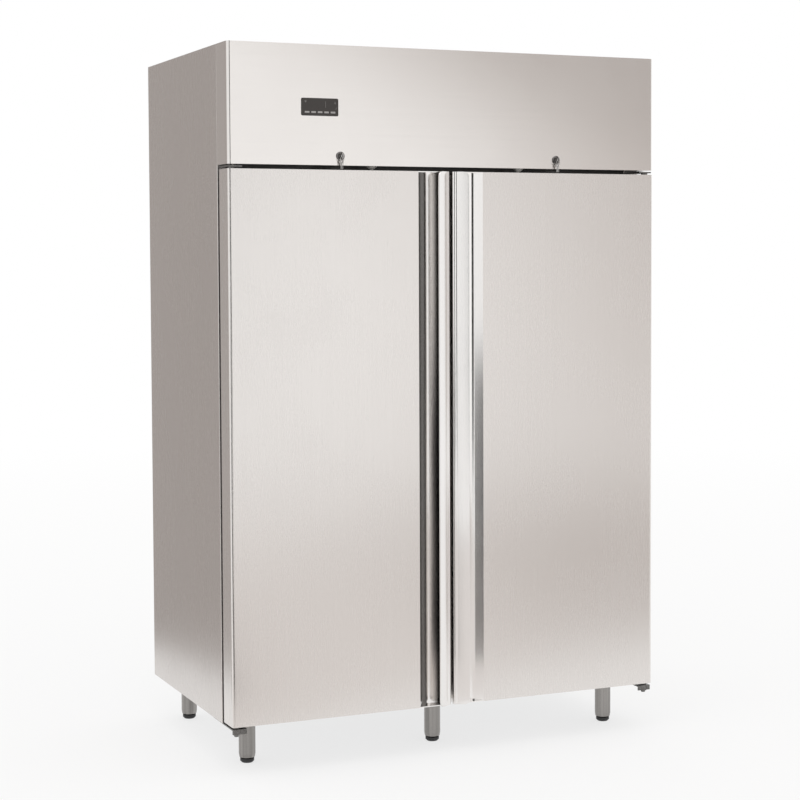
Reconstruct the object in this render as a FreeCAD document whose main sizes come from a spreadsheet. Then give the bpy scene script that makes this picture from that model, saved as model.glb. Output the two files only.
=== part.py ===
# Two-door upright refrigerator: stainless cabinet on six legs, machine bay on top behind a hood panel.
# Millimetres. +X to the right, the front faces -Y, +Z up, origin on the floor under the middle of the box.
import FreeCAD, Part
import math
import operator
import os
import Sketcher
from types import SimpleNamespace
from FreeCAD import Placement, Rotation, Vector

sizes = {
    # whole cabinet
    "overall_height": 2110,
    "cabinet_width": 1396,
    "cabinet_depth": 808,
    "leg_height": 137,
    "outer_sheet": 1.2,
    "liner_sheet": 1.0,
    "bend_radius": 4,
    "side_front_return": 50,
    "side_rear_return": 22,
    "side_wall": 58,
    "rear_wall": 58,
    "floor_wall": 60,
    "roof_wall": 68,
    "deck_rise": 7,
    "rear_panel_rise": 60,
    "mullion_width": 70,
    "mullion_depth": 50,
    "mullion_radius": 6,
    # hood over the doors
    "hood_height": 347,
    "hood_gap": 13,
    "hood_flange": 50,
    "display_width": 114,
    "display_height": 51,
    "display_from_middle": 417,
    "display_rise": 167,
    "display_thickness": 2,
    "display_lap": 4,
    "display_corner": 4,
    "controller_depth": 58,
    "button_count": 5,
    "button_width": 14,
    "button_height": 5,
    "button_pitch": 20,
    "button_drop": 15,
    "button_proud": 1,
    "button_length": 6,
    "button_travel": 0.8,
    "button_clearance": 0.3,
    # doors
    "door_thickness": 80,
    "gasket_gap": 16,
    "door_gap": 20.5,
    "door_inset": 1,
    "door_lift": 7,
    "door_sheet": 1.2,
    "door_bend": 5,
    "end_cap_depth": 30,
    "liner_raise": 8,
    "liner_margin": 62,
    "gasket_margin": 24,
    "gasket_foot": 22,
    "gasket_neck": 12,
    "gasket_head": 18,
    "gasket_foot_depth": 4,
    "gasket_head_depth": 6,
    "seal_clearance": 0.3,
    # full-height handle along each closing edge
    "wing_width": 38.5,
    "wing_proud": 23,
    "wing_edge_proud": 2,
    "wing_thickness": 4,
    "wing_root": 12,
    "edge_land": 7,
    "land_bend": 4,
    "edge_roll": 6,
    "wing_corner": 17,
    "wing_bend": 5,
    "groove_depth": 17,
    "groove_slope": 24,
    "groove_bend": 12,
    "root_bend": 12,
    "flat_edge": 95.5,
    "handle_tab": 12,
    "groove_end": 3,
    # hinges
    "hinge_inset": 19,
    "hinge_back": 22,
    "hinge_plate": 4,
    "hinge_width": 42,
    "hinge_side_gap": 4,
    "hinge_reach": 16,
    "hinge_tail": 95,
    "hinge_upright": 60,
    "hinge_lip": 15,
    "hinge_head_gap": 5,
    "pin_radius": 6,
    "pin_engagement": 26,
    "pin_clearance": 0.05,
    "collar_radius": 10,
    "collar_clearance": 0.3,
    "pin_nut_radius": 12,
    "pin_nut_height": 14,
    "pin_tail": 6,
    "bolt_radius": 6.5,
    "bolt_height": 5,
    "bolt_pitch": 28,
    # locks and keys
    "lock_from_middle": 354,
    "lock_rise": 27,
    "bezel_radius": 13,
    "bezel_proud": 4,
    "barrel_radius": 11,
    "barrel_length": 23,
    "barrel_clearance": 0.2,
    "plug_radius": 7,
    "plug_clearance": 0.05,
    "plug_proud": 0.5,
    "stub_radius": 4.5,
    "cam_thickness": 2.5,
    "cam_gap": 1,
    "cam_length": 31,
    "cam_radius": 8,
    "cam_tip_radius": 5,
    "cam_slot_clearance": 2,
    "keeper_gap": 1.2,
    "keeper_thickness": 3,
    "keeper_width": 40,
    "keeper_height": 8,
    "key_blade_thickness": 2,
    "key_blade_height": 7,
    "key_blade_length": 18,
    "key_slack": 0.2,
    "key_bow_radius": 8.5,
    "key_bow_hole": 5,
    "key_bow_thickness": 2.4,
    "key_bow_gap": 1,
    "ring_radius": 6,
    "ring_wire": 0.7,
    "ring_clearance": 0.75,
    "spare_bow_radius": 5.5,
    "spare_bow_hole": 2.2,
    "spare_thickness": 1.4,
    "spare_blade_width": 4.6,
    "spare_blade_length": 16,
    "spare_spread": 25,
    "spare_twist": 30,
    # door switches
    "switch_from_middle": 242,
    "switch_back": 33,
    "switch_cone_radius": 16,
    "switch_cone_tip": 7,
    "switch_cone_drop": 8,
    "switch_body_radius": 9,
    "switch_body_height": 26,
    "plunger_radius": 4,
    "plunger_tip_gap": 0.6,
    "plunger_travel": 4,
    "plunger_length": 22,
    # legs
    "leg_inset": 94,
    "leg_front": 149,
    "leg_rear": 733,
    "leg_radius": 25,
    "leg_wall": 1.5,
    "leg_round": 7,
    "leg_plate": 84,
    "leg_plate_thickness": 3,
    "foot_show": 13,
    "foot_radius": 21,
    "foot_round": 5,
    "foot_stem_radius": 17,
    "foot_stem_length": 60,
    "foot_seat_gap": 0.3,
    # inside the cabinet
    "upright_width": 26,
    "upright_depth": 9,
    "upright_foot": 60,
    "upright_head": 190,
    "upright_front": 75,
    "upright_rear": 60,
    "upright_slot_width": 10,
    "upright_slot_height": 14,
    "upright_slot_pitch": 110,
    "shelf_count": 3,
    "shelf_first": 330,
    "shelf_pitch": 340,
    "rail_width": 20,
    "rail_height": 16,
    "rail_sheet": 1.5,
    "rail_overhang": 18,
    "shelf_frame_radius": 4,
    "shelf_wire_radius": 2.2,
    "shelf_wire_count": 13,
    "shelf_play": 3,
    "shelf_seat_gap": 0.2,
    # evaporator under the ceiling
    "evaporator_width": 760,
    "evaporator_depth": 400,
    "evaporator_height": 132,
    "evaporator_back_gap": 40,
    "evaporator_sheet": 1.2,
    "evaporator_coil_width": 560,
    "evaporator_coil_depth": 130,
    "evaporator_coil_height": 96,
    "evaporator_fin_count": 14,
    "evaporator_row_count": 3,
    "evaporator_fan_radius": 82,
    "evaporator_fan_front": 120,
    "outlet_count": 10,
    "outlet_width": 44,
    "outlet_height": 12,
    "outlet_pitch": 66,
    # condensing unit in the machine bay
    "unit_from_middle": 160,
    "unit_back": 330,
    "unit_width": 640,
    "unit_depth": 400,
    "unit_sheet": 2,
    "unit_flange": 24,
    "compressor_radius": 92,
    "compressor_height": 190,
    "compressor_offset": 210,
    "compressor_foot": 16,
    "condenser_width": 340,
    "condenser_height": 270,
    "condenser_depth": 76,
    "condenser_offset": 190,
    "condenser_fin_count": 16,
    "condenser_row_count": 5,
    "coil_tube_radius": 5,
    "fin_thickness": 1.5,
    "end_plate": 2,
    "shroud_depth": 60,
    "shroud_sheet": 1.5,
    "condenser_fan_radius": 122,
    "fan_tip_clearance": 5,
    "fan_hub_radius": 26,
    "fan_hub_length": 26,
    "fan_blade_count": 5,
    "fan_blade_thickness": 2.4,
    "fan_blade_chord": 62,
    "fan_pitch_root": 52,
    "fan_pitch_tip": 28,
    "fan_shaft_radius": 4,
    "fan_shaft_length": 22,
    "shaft_clearance": 0.05,
    "motor_radius": 38,
    "motor_length": 58,
    "motor_gap": 6,
    "motor_arm_radius": 4,
    "pipe_radius": 5,
    "pipe_bend": 22,
    "pipe_stub": 14,
    "drier_radius": 14,
    "drier_length": 90,
    "box_width": 200,
    "box_depth": 130,
    "box_height": 110,
    "box_from_side": 278,
    "box_radius": 8,
    "gland_radius": 11,
    "gland_length": 22,
}

document = FreeCAD.newDocument("refrigerator")
sheet = document.addObject("Spreadsheet::Sheet", "Sizes")
for row, (name, value) in enumerate(sizes.items(), start=1):
    sheet.set(f"A{row}", name)
    sheet.set(f"B{row}", str(value))
    sheet.setAlias(f"B{row}", name)
layout = document.addObject("App::VarSet", "Layout")

signs = {"+": operator.add, "-": operator.sub, "*": operator.mul, "/": operator.truediv}


class Measure:
    # A length in two forms: its number, and the formula that binds a feature to the sheet.
    def __init__(self, number, formula):
        self.number = number
        self.formula = formula

    def __add__(self, other):
        return combined(self, "+", other)

    def __radd__(self, other):
        return combined(other, "+", self)

    def __sub__(self, other):
        return combined(self, "-", other)

    def __rsub__(self, other):
        return combined(other, "-", self)

    def __mul__(self, other):
        return combined(self, "*", other)

    def __rmul__(self, other):
        return combined(other, "*", self)

    def __truediv__(self, other):
        return combined(self, "/", other)

    def __neg__(self):
        return combined(0, "-", self)

    def __float__(self):
        return float(self.number)


def formula_of(measure):
    return measure.formula if isinstance(measure, Measure) else repr(float(measure))


def number_of(measure):
    return float(measure)


def combined(left, sign, right):
    number = signs[sign](number_of(left), number_of(right))
    return Measure(number, f"({formula_of(left)} {sign} {formula_of(right)})")


def placed(name, measure):
    # A worked-out place gets a name of its own in the document.
    layout.addProperty("App::PropertyFloat", name, "Layout")
    layout.setExpression(name, measure.formula)
    return Measure(measure.number, f"Layout.{name}")


size = SimpleNamespace(**{name: Measure(value, f"Sizes.{name}") for name, value in sizes.items()})
axes = {"x": Vector(1, 0, 0), "y": Vector(0, 1, 0), "z": Vector(0, 0, 1), "-z": Vector(0, 0, -1)}


def put(feature, x, y, z, turn=None):
    if turn is not None:
        feature.Placement = Placement(Vector(), turn)
    for axis, measure in zip("xyz", (x, y, z)):
        feature.setExpression(f"Placement.Base.{axis}", formula_of(measure))
    return feature


def bound(feature, **measures):
    for name, measure in measures.items():
        feature.setExpression(name, formula_of(measure))
    return feature


def block(name, x, y, z):
    solid = document.addObject("Part::Box", name)
    bound(solid, Length=x[1] - x[0], Width=y[1] - y[0], Height=z[1] - z[0])
    return put(solid, x[0], y[0], z[0])


def rod(name, at, radius, length, along="z"):
    solid = document.addObject("Part::Cylinder", name)
    bound(solid, Radius=radius, Height=length)
    return put(solid, *at, Rotation(axes["z"], axes[along]))


def prism(name, at, radius, length, along="z", sides=6):
    solid = document.addObject("Part::Prism", name)
    solid.Polygon = sides
    bound(solid, Circumradius=radius, Height=length)
    return put(solid, *at, Rotation(axes["z"], axes[along]))


def join(name, pieces):
    solid = document.addObject("Part::MultiFuse", name)
    solid.Shapes = pieces
    solid.Refine = True
    return solid


def cut(name, base, tools):
    solid = document.addObject("Part::Cut", name)
    solid.Base = base
    solid.Tool = tools[0] if len(tools) == 1 else join(name + "_tools", tools)
    return solid


def group(name, pieces):
    solids = document.addObject("Part::Compound", name)
    solids.Links = pieces
    return solids


def copied(name, source, x, y, z, turn=None):
    copy = document.addObject("App::Link", name)
    copy.LinkedObject = source
    copy.LinkTransform = False
    return put(copy, x, y, z, turn)


def outline(body, name, plane, points):
    # A closed outline of straight lines, each corner tied to the sheet.
    planes = {feature.Role: feature for feature in body.Origin.OriginFeatures}
    sketch = body.newObject("Sketcher::SketchObject", name)
    sketch.AttachmentSupport = (planes[plane], [""])
    sketch.MapMode = "FlatFace"
    corners = [Vector(number_of(across), number_of(upward), 0) for across, upward in points]
    for start, end in zip(corners, corners[1:] + corners[:1]):
        sketch.addGeometry(Part.LineSegment(start, end), False)
    for index in range(len(corners)):
        following = (index + 1) % len(corners)
        sketch.addConstraint(Sketcher.Constraint("Coincident", index, 2, following, 1))
    for index, point in enumerate(points):
        for direction, measure in zip(("DistanceX", "DistanceY"), point):
            rule = Sketcher.Constraint(direction, -1, 1, index, 1, number_of(measure))
            tied = sketch.addConstraint(rule)
            sketch.setExpression(f"Constraints[{tied}]", formula_of(measure))
    return sketch


def extrusion(name, points, span, along="z"):
    # The outline lies across the given axis and is drawn out over the span.
    body = document.addObject("PartDesign::Body", name)
    plane = {"x": "YZ_Plane", "y": "XZ_Plane", "z": "XY_Plane"}[along]
    sketch = outline(body, name + "_outline", plane, points)
    pad = body.newObject("PartDesign::Pad", name + "_pad")
    pad.Profile = sketch
    pad.Reversed = along == "y"
    bound(pad, Length=span[1] - span[0])
    body.Tip = pad
    base = [span[0] if axis == along else 0 for axis in "xyz"]
    return put(body, *base)


def turned(name, points, at, along="z"):
    # Points are (radius, height) round the axis.
    body = document.addObject("PartDesign::Body", name)
    sketch = outline(body, name + "_outline", "XZ_Plane", points)
    revolution = body.newObject("PartDesign::Revolution", name + "_turn")
    revolution.Profile = sketch
    revolution.ReferenceAxis = (sketch, ["V_Axis"])
    revolution.Angle = 360
    body.Tip = revolution
    return put(body, *at, Rotation(axes["z"], axes[along]))


def rounded(body, name, radius, chosen):
    # Rounds the edges whose two ends satisfy the choice.
    document.recompute()
    base = body.Tip
    names = []
    for index, edge in enumerate(base.Shape.Edges, start=1):
        ends = [vertex.Point for vertex in edge.Vertexes]
        if len(ends) == 2 and chosen(*ends):
            names.append(f"Edge{index}")
    fillet = body.newObject("PartDesign::Fillet", name)
    fillet.Base = (base, names)
    bound(fillet, Radius=radius)
    body.Tip = fillet
    return body


def over(end, place, across="xy"):
    first, second = (getattr(end, axis) for axis in across)
    return math.hypot(first - number_of(place[0]), second - number_of(place[1])) < 0.01


def near(*places, across="xy"):
    # Chooses the edges that stand square on the given plane, over one of the places in it.
    return lambda start, end: any(
        over(start, place, across) and over(end, place, across) for place in places)


def between(first, second):
    # Chooses the edges that run from one (x, y) place to the other.
    def chosen(start, end):
        forward = over(start, first) and over(end, second)
        return forward or (over(start, second) and over(end, first))
    return chosen


def ordered(side, inner, outer):
    # A span across X on the left (-1) or right (+1) of the middle.
    return (inner, outer) if side > 0 else (-outer, -inner)


sides = {"left": -1, "right": 1}
nodes = []


def node(feature):
    nodes.append(feature)
    return feature


half_width = placed("half_width", size.cabinet_width / 2)
face_y = placed("face_y", (size.wing_proud - size.cabinet_depth) / 2)
front_y = placed("front_y", face_y + size.door_thickness + size.gasket_gap)
back_y = placed("back_y", face_y + size.cabinet_depth)
hood_bottom = placed("hood_bottom", size.overall_height - size.hood_height)
door_top = placed("door_top", hood_bottom - size.hood_gap)
door_bottom = placed("door_bottom", size.leg_height + size.door_lift)
deck_z = placed("deck_z", hood_bottom + size.deck_rise)
deck_top = placed("deck_top", deck_z + size.outer_sheet)
inner_x = placed("inner_x", half_width - size.outer_sheet)
foam_front = placed("foam_front", front_y + size.outer_sheet)
flange_front = placed("flange_front", foam_front - size.liner_sheet)
cavity_x = placed("cavity_x", half_width - size.side_wall)
cavity_back = placed("cavity_back", back_y - size.rear_wall)
cavity_floor = placed("cavity_floor", size.leg_height + size.floor_wall)
cavity_top = placed("cavity_top", deck_z - size.roof_wall)
liner_x = placed("liner_x", cavity_x - size.liner_sheet)
liner_back = placed("liner_back", cavity_back - size.liner_sheet)
liner_floor = placed("liner_floor", cavity_floor + size.liner_sheet)
liner_top = placed("liner_top", cavity_top - size.liner_sheet)


def side_panel(name, side):
    outer = side * half_width
    inner = side * inner_x
    front_edge = side * (half_width - size.side_front_return)
    rear_edge = side * (half_width - size.side_rear_return)
    points = [
        (front_edge, front_y), (outer, front_y), (outer, back_y), (rear_edge, back_y),
        (rear_edge, back_y - size.outer_sheet), (inner, back_y - size.outer_sheet),
        (inner, foam_front), (front_edge, foam_front),
    ]
    panel = extrusion(name, points, (size.leg_height, size.overall_height))
    return rounded(panel, name + "_bends", size.bend_radius / 2, near((outer, front_y), (outer, back_y)))


def cabinet_shell():
    for word, side in sides.items():
        node(side_panel(f"{word}_side_panel", side))
    rear_edge = half_width - size.side_rear_return
    node(block("rear_panel", (-rear_edge, rear_edge), (back_y - size.outer_sheet, back_y),
               (size.leg_height, deck_z + size.rear_panel_rise)))
    depth = (foam_front, back_y - size.outer_sheet)
    across = (-inner_x, inner_x)
    floor_top = size.leg_height + size.outer_sheet
    node(block("base_panel", across, depth, (size.leg_height, floor_top)))
    node(block("roof_deck", across, depth, (deck_z, deck_top)))
    foam = block("foam_block", across, depth, (floor_top, deck_z))
    cavity = block("foam_cavity", (-cavity_x, cavity_x), (flange_front, cavity_back),
                   (cavity_floor, cavity_top))
    node(cut("insulation_foam", foam, [cavity]))


def cabinet_liner():
    tub = block("liner_tub", (-cavity_x, cavity_x), (flange_front, cavity_back), (cavity_floor, cavity_top))
    flange_edge = half_width - size.side_front_return
    flange = block("liner_flange", (-flange_edge, flange_edge), (flange_front, foam_front),
                   (size.leg_height, deck_top))
    inside = extrusion("liner_inside", [
        (-liner_x, front_y - size.gasket_gap), (liner_x, front_y - size.gasket_gap),
        (liner_x, liner_back), (-liner_x, liner_back),
    ], (liner_floor, liner_top))
    node(cut("inner_liner", join("liner_sheet_metal", [tub, flange]), [inside]))
    half = size.mullion_width / 2
    back = flange_front + size.mullion_depth
    post = extrusion("centre_mullion", [
        (-half, flange_front), (half, flange_front), (half, back), (-half, back),
    ], (liner_floor, liner_top))
    node(rounded(post, "mullion_bends", size.mullion_radius, near((-half, back), (half, back))))


lock_z = placed("lock_z", hood_bottom + size.lock_rise)
display_z = placed("display_z", hood_bottom + size.display_rise)
button_z = placed("button_z", display_z - size.button_drop)
switch_y = placed("switch_y", face_y + size.switch_back)
cam_front = placed("cam_front", face_y + size.barrel_length + size.cam_gap)
cam_back = placed("cam_back", cam_front + size.cam_thickness)


def hood():
    # A folded pan of sheet, open behind, with its flanges trimmed and its face pierced.
    sheet_metal = size.outer_sheet
    pan = extrusion("hood_pan", [
        (-half_width, face_y), (half_width, face_y), (half_width, front_y), (-half_width, front_y),
    ], (hood_bottom, size.overall_height))
    rounded(pan, "hood_folds", size.bend_radius, near((-half_width, face_y), (half_width, face_y)))
    lining = face_y + sheet_metal
    open_back = front_y + sheet_metal
    hollow = extrusion("hood_hollow", [
        (-inner_x, lining), (inner_x, lining), (inner_x, open_back), (-inner_x, open_back),
    ], (hood_bottom + sheet_metal, size.overall_height - sheet_metal))
    rounded(hollow, "hood_inner_folds", size.bend_radius - sheet_metal,
            near((-inner_x, lining), (inner_x, lining)))
    flange_y = (face_y + size.hood_flange, open_back)
    inside = (-inner_x, inner_x)
    wall = 2 * sheet_metal
    tools = [
        hollow,
        block("hood_trim_below", inside, flange_y, (hood_bottom - wall, hood_bottom + wall)),
        block("hood_trim_above", inside, flange_y, (size.overall_height - wall, size.overall_height + wall)),
    ]
    half_high = size.display_height / 2 - size.display_lap
    half_wide = size.display_width / 2 - size.display_lap
    middle = -size.display_from_middle
    through = (face_y - size.bend_radius, face_y + size.bend_radius)
    tools.append(block("display_cutout", (middle - half_wide, middle + half_wide), through,
                       (display_z - half_high, display_z + half_high)))
    for word, side in sides.items():
        middle = side * size.lock_from_middle
        tools.append(rod(f"{word}_lock_hole", (middle, through[0], lock_z),
                         size.barrel_radius + size.barrel_clearance, 2 * size.bend_radius, "y"))
        slack = size.cam_slot_clearance
        reach = ordered(side, size.lock_from_middle - size.cam_length - size.cam_tip_radius,
                        size.lock_from_middle + size.cam_radius + slack)
        tools.append(block(f"{word}_cam_slot", reach, (cam_front - slack, cam_back + slack),
                           (hood_bottom - wall, hood_bottom + wall)))
        switch_at = (side * size.switch_from_middle, switch_y, hood_bottom - wall)
        tools.append(rod(f"{word}_switch_hole", switch_at,
                         size.switch_body_radius + size.barrel_clearance, 2 * wall))
    node(cut("hood_panel", pan, tools))


def controller():
    middle = -size.display_from_middle
    half_wide = size.display_width / 2
    half_high = size.display_height / 2
    corners = [
        (middle - half_wide, display_z - half_high), (middle + half_wide, display_z - half_high),
        (middle + half_wide, display_z + half_high), (middle - half_wide, display_z + half_high),
    ]
    window = extrusion("window_plate", corners, (face_y - size.display_thickness, face_y), "y")
    rounded(window, "window_corners", size.display_corner, near(*corners, across="xz"))
    fit = size.display_lap + size.button_clearance
    housing = block("housing_case", (middle - half_wide + fit, middle + half_wide - fit),
                    (face_y, face_y + size.controller_depth),
                    (display_z - half_high + fit, display_z + half_high - fit))
    button_front = face_y - size.display_thickness - size.button_proud
    button_back = button_front + size.button_length
    slots = []
    pockets = []
    for index in range(sizes["button_count"]):
        across = middle + (index - (sizes["button_count"] - 1) / 2) * size.button_pitch
        wide = size.button_width / 2
        high = size.button_height / 2
        cap = extrusion(f"controller_button_{index + 1}", [
            (across - wide, button_z - high), (across + wide, button_z - high),
            (across + wide, button_z + high), (across - wide, button_z + high),
        ], (button_front, button_back), "y")
        node(cap)
        slot_x = (across - wide - size.button_clearance, across + wide + size.button_clearance)
        slot_z = (button_z - high - size.button_clearance, button_z + high + size.button_clearance)
        slots.append(block(f"window_slot_{index + 1}", slot_x, (button_front, face_y), slot_z))
        pockets.append(block(f"housing_pocket_{index + 1}", slot_x,
                             (face_y, button_back + size.button_travel + size.button_clearance), slot_z))
    node(cut("display_window", window, slots))
    node(cut("controller_housing", housing, pockets))


wing_rise = size.wing_proud - size.wing_edge_proud


def door_point(side, across, back):
    # A point of a door's plan: distance from its closing edge, distance behind its face.
    return (side * (size.door_gap / 2 + across), face_y + back)


door_width = placed("door_width", half_width - size.door_inset - size.door_gap / 2)
panel_back = placed("panel_back", size.door_thickness - size.liner_sheet)
groove_back = placed("groove_back", size.groove_depth + size.door_sheet)
slope_foot = placed("slope_foot", size.flat_edge - size.groove_slope)


def door_core(name, side, span):
    # Fills the space inside the skin, from the handle to the hinge side.
    sheet_metal = size.door_sheet
    points = [door_point(side, across, back) for across, back in (
        (sheet_metal, groove_back), (slope_foot, groove_back), (size.flat_edge, 2 * sheet_metal),
        (size.flat_edge + size.handle_tab, 2 * sheet_metal), (size.flat_edge + size.handle_tab, sheet_metal),
        (door_width - sheet_metal, sheet_metal), (door_width - sheet_metal, panel_back),
        (sheet_metal, panel_back),
    )]
    core = extrusion(name, points, span)
    rounded(core, name + "_groove_bend", size.groove_bend + sheet_metal, near(points[1]))
    return rounded(core, name + "_bend", size.door_bend - sheet_metal, near(points[5]))


def door_handle(word, side):
    # Rolled edge, wing and finger groove in one pressed profile.
    sheet_metal = size.door_sheet
    wing_run = size.wing_width - size.edge_land
    slant = math.hypot(number_of(wing_run), number_of(wing_rise))
    lean = number_of(wing_rise) / slant
    level = number_of(wing_run) / slant
    lip = size.wing_thickness
    under_edge = size.wing_width + lip * lean
    under_drop = lip * level - size.wing_proud
    root_drop = under_drop + (under_edge - size.wing_root) * wing_rise / wing_run
    points = [door_point(side, across, back) for across, back in (
        (0 * lip, -size.wing_edge_proud), (size.edge_land, -size.wing_edge_proud),
        (size.wing_width, -size.wing_proud), (under_edge, under_drop),
        (size.wing_root, root_drop), (size.wing_root, size.groove_depth), (slope_foot, size.groove_depth),
        (size.flat_edge, 0 * lip), (size.flat_edge, sheet_metal),
        (size.flat_edge + size.handle_tab, sheet_metal), (size.flat_edge + size.handle_tab, 2 * sheet_metal),
        (size.flat_edge, 2 * sheet_metal), (slope_foot, groove_back),
        (sheet_metal, groove_back), (sheet_metal, panel_back), (0 * lip, panel_back),
    )]
    profile = extrusion(f"{word}_handle_profile", points, (door_bottom, door_top))
    rounded(profile, f"{word}_wing_corners", size.wing_corner, between(points[2], points[3]))
    rounded(profile, f"{word}_edge_roll", size.edge_roll, near(points[0]))
    rounded(profile, f"{word}_land_bend", size.land_bend, near(points[1]))
    rounded(profile, f"{word}_wing_bend", size.wing_bend, near(points[4]))
    rounded(profile, f"{word}_root_bend", size.root_bend, near(points[5]))
    rounded(profile, f"{word}_groove_bend", size.groove_bend, near(points[6]))
    rounded(profile, f"{word}_groove_back_bend", size.groove_bend + sheet_metal, near(points[12]))
    weld = sheet_metal / 2
    well = [door_point(side, across, back) for across, back in (
        (size.wing_root - weld, 0 * lip), (size.flat_edge, 0 * lip), (size.flat_edge, weld),
        (slope_foot, size.groove_depth + weld), (size.wing_root - weld, size.groove_depth + weld),
    )]
    ends = []
    for end, foot in (("foot", door_bottom), ("head", door_top - size.groove_end)):
        plate = extrusion(f"{word}_groove_{end}", well, (foot, foot + size.groove_end))
        ends.append(rounded(plate, f"{word}_groove_{end}_bend", size.groove_bend + weld, near(well[3])))
    return join(f"{word}_door_handle", [profile] + ends)


def door_skin(word, side):
    sheet_metal = size.door_sheet
    inner = door_width - sheet_metal
    points = [door_point(side, across, back) for across, back in (
        (size.flat_edge, 0 * sheet_metal), (door_width, 0 * sheet_metal), (door_width, panel_back),
        (inner, panel_back), (inner, sheet_metal), (size.flat_edge, sheet_metal),
    )]
    skin = extrusion(f"{word}_door_skin", points, (door_bottom, door_top))
    rounded(skin, f"{word}_skin_inner_bend", size.door_bend - sheet_metal, near(points[4]))
    return rounded(skin, f"{word}_skin_bend", size.door_bend, near(points[1]))


def liner_plan(side, margin):
    inner = size.door_gap / 2 + margin
    outer = half_width - size.door_inset - margin
    return ordered(side, inner, outer), (door_bottom + margin, door_top - margin)


def door_foam_and_liner(word, side):
    cap = size.end_cap_depth
    core = door_core(f"{word}_foam_core", side, (door_bottom + cap, door_top - cap))
    raised_x, raised_z = liner_plan(side, size.liner_margin)
    inner = size.liner_sheet
    back = face_y + panel_back
    raise_y = (back, face_y + size.door_thickness + size.liner_raise)
    bulge = block(f"{word}_foam_bulge", (raised_x[0] + inner, raised_x[1] - inner),
                  (raise_y[0], raise_y[1] - inner), (raised_z[0] + inner, raised_z[1] - inner))
    node(join(f"{word}_door_foam", [core, bulge]))
    plate_x = ordered(side, size.door_gap / 2, half_width - size.door_inset)
    plate = block(f"{word}_liner_plate", plate_x, (back, face_y + size.door_thickness),
                  (door_bottom, door_top))
    tray = extrusion(f"{word}_liner_tray", [
        (raised_x[0], raised_z[0]), (raised_x[1], raised_z[0]),
        (raised_x[1], raised_z[1]), (raised_x[0], raised_z[1]),
    ], raise_y, "y")
    hollow = block(f"{word}_liner_hollow", (raised_x[0] + inner, raised_x[1] - inner),
                   (raise_y[0] - inner, raise_y[1] - inner), (raised_z[0] + inner, raised_z[1] - inner))
    node(cut(f"{word}_door_liner", join(f"{word}_liner_pan", [plate, tray]), [hollow]))


def gasket_ring(name, side, margin, width, depth):
    outer_x, outer_z = liner_plan(side, margin)
    inner_span, inner_z = liner_plan(side, margin + width)
    slack = size.seal_clearance
    outer = block(name + "_outer", outer_x, depth, outer_z)
    inner = block(name + "_inner", inner_span, (depth[0] - slack, depth[1] + slack), inner_z)
    return cut(name, outer, [inner])


def door_gasket(word, side):
    # Foot clipped to the liner, narrow bellows and magnetic head, all the way round.
    start = face_y + size.door_thickness
    end = front_y - size.seal_clearance
    foot_end = start + size.gasket_foot_depth
    head_start = end - size.gasket_head_depth
    neck_margin = size.gasket_margin + (size.gasket_foot - size.gasket_neck) / 2
    head_margin = size.gasket_margin + (size.gasket_foot - size.gasket_head) / 2
    rings = [
        gasket_ring(f"{word}_gasket_foot", side, size.gasket_margin, size.gasket_foot, (start, foot_end)),
        gasket_ring(f"{word}_gasket_neck", side, neck_margin, size.gasket_neck, (foot_end, head_start)),
        gasket_ring(f"{word}_gasket_head", side, head_margin, size.gasket_head, (head_start, end)),
    ]
    return join(f"{word}_door_gasket", rings)


hinge_from_middle = placed("hinge_from_middle", half_width - size.hinge_inset)
hinge_y = placed("hinge_y", face_y + size.hinge_back)
keeper_front = placed("keeper_front", cam_back + size.keeper_gap)


def door_end_caps(word, side):
    # Each cap closes one end of the door and carries a bush for its hinge pin.
    axis_x = side * hinge_from_middle
    bore = size.pin_radius + size.pin_clearance
    depth = size.pin_engagement + size.collar_clearance
    lower = door_core(f"{word}_lower_cap", side, (door_bottom, door_bottom + size.end_cap_depth))
    lower_bore = rod(f"{word}_lower_bore", (axis_x, hinge_y, door_bottom), bore, depth)
    upper = door_core(f"{word}_upper_cap", side, (door_top - size.end_cap_depth, door_top))
    upper_bore = rod(f"{word}_upper_bore", (axis_x, hinge_y, door_top - depth), bore, depth)
    half = size.keeper_width / 2
    middle = side * size.lock_from_middle
    keeper = block(f"{word}_keeper", (middle - half, middle + half),
                   (keeper_front, keeper_front + size.keeper_thickness),
                   (door_top, door_top + size.keeper_height))
    return group(f"{word}_door_end_caps", [
        cut(f"{word}_lower_bored", lower, [lower_bore]),
        cut(f"{word}_upper_bored", upper, [upper_bore]),
        keeper,
    ])


def doors():
    for word, side in sides.items():
        node(door_skin(word, side))
        node(door_handle(word, side))
        door_foam_and_liner(word, side)
        node(door_gasket(word, side))
        node(door_end_caps(word, side))


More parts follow.
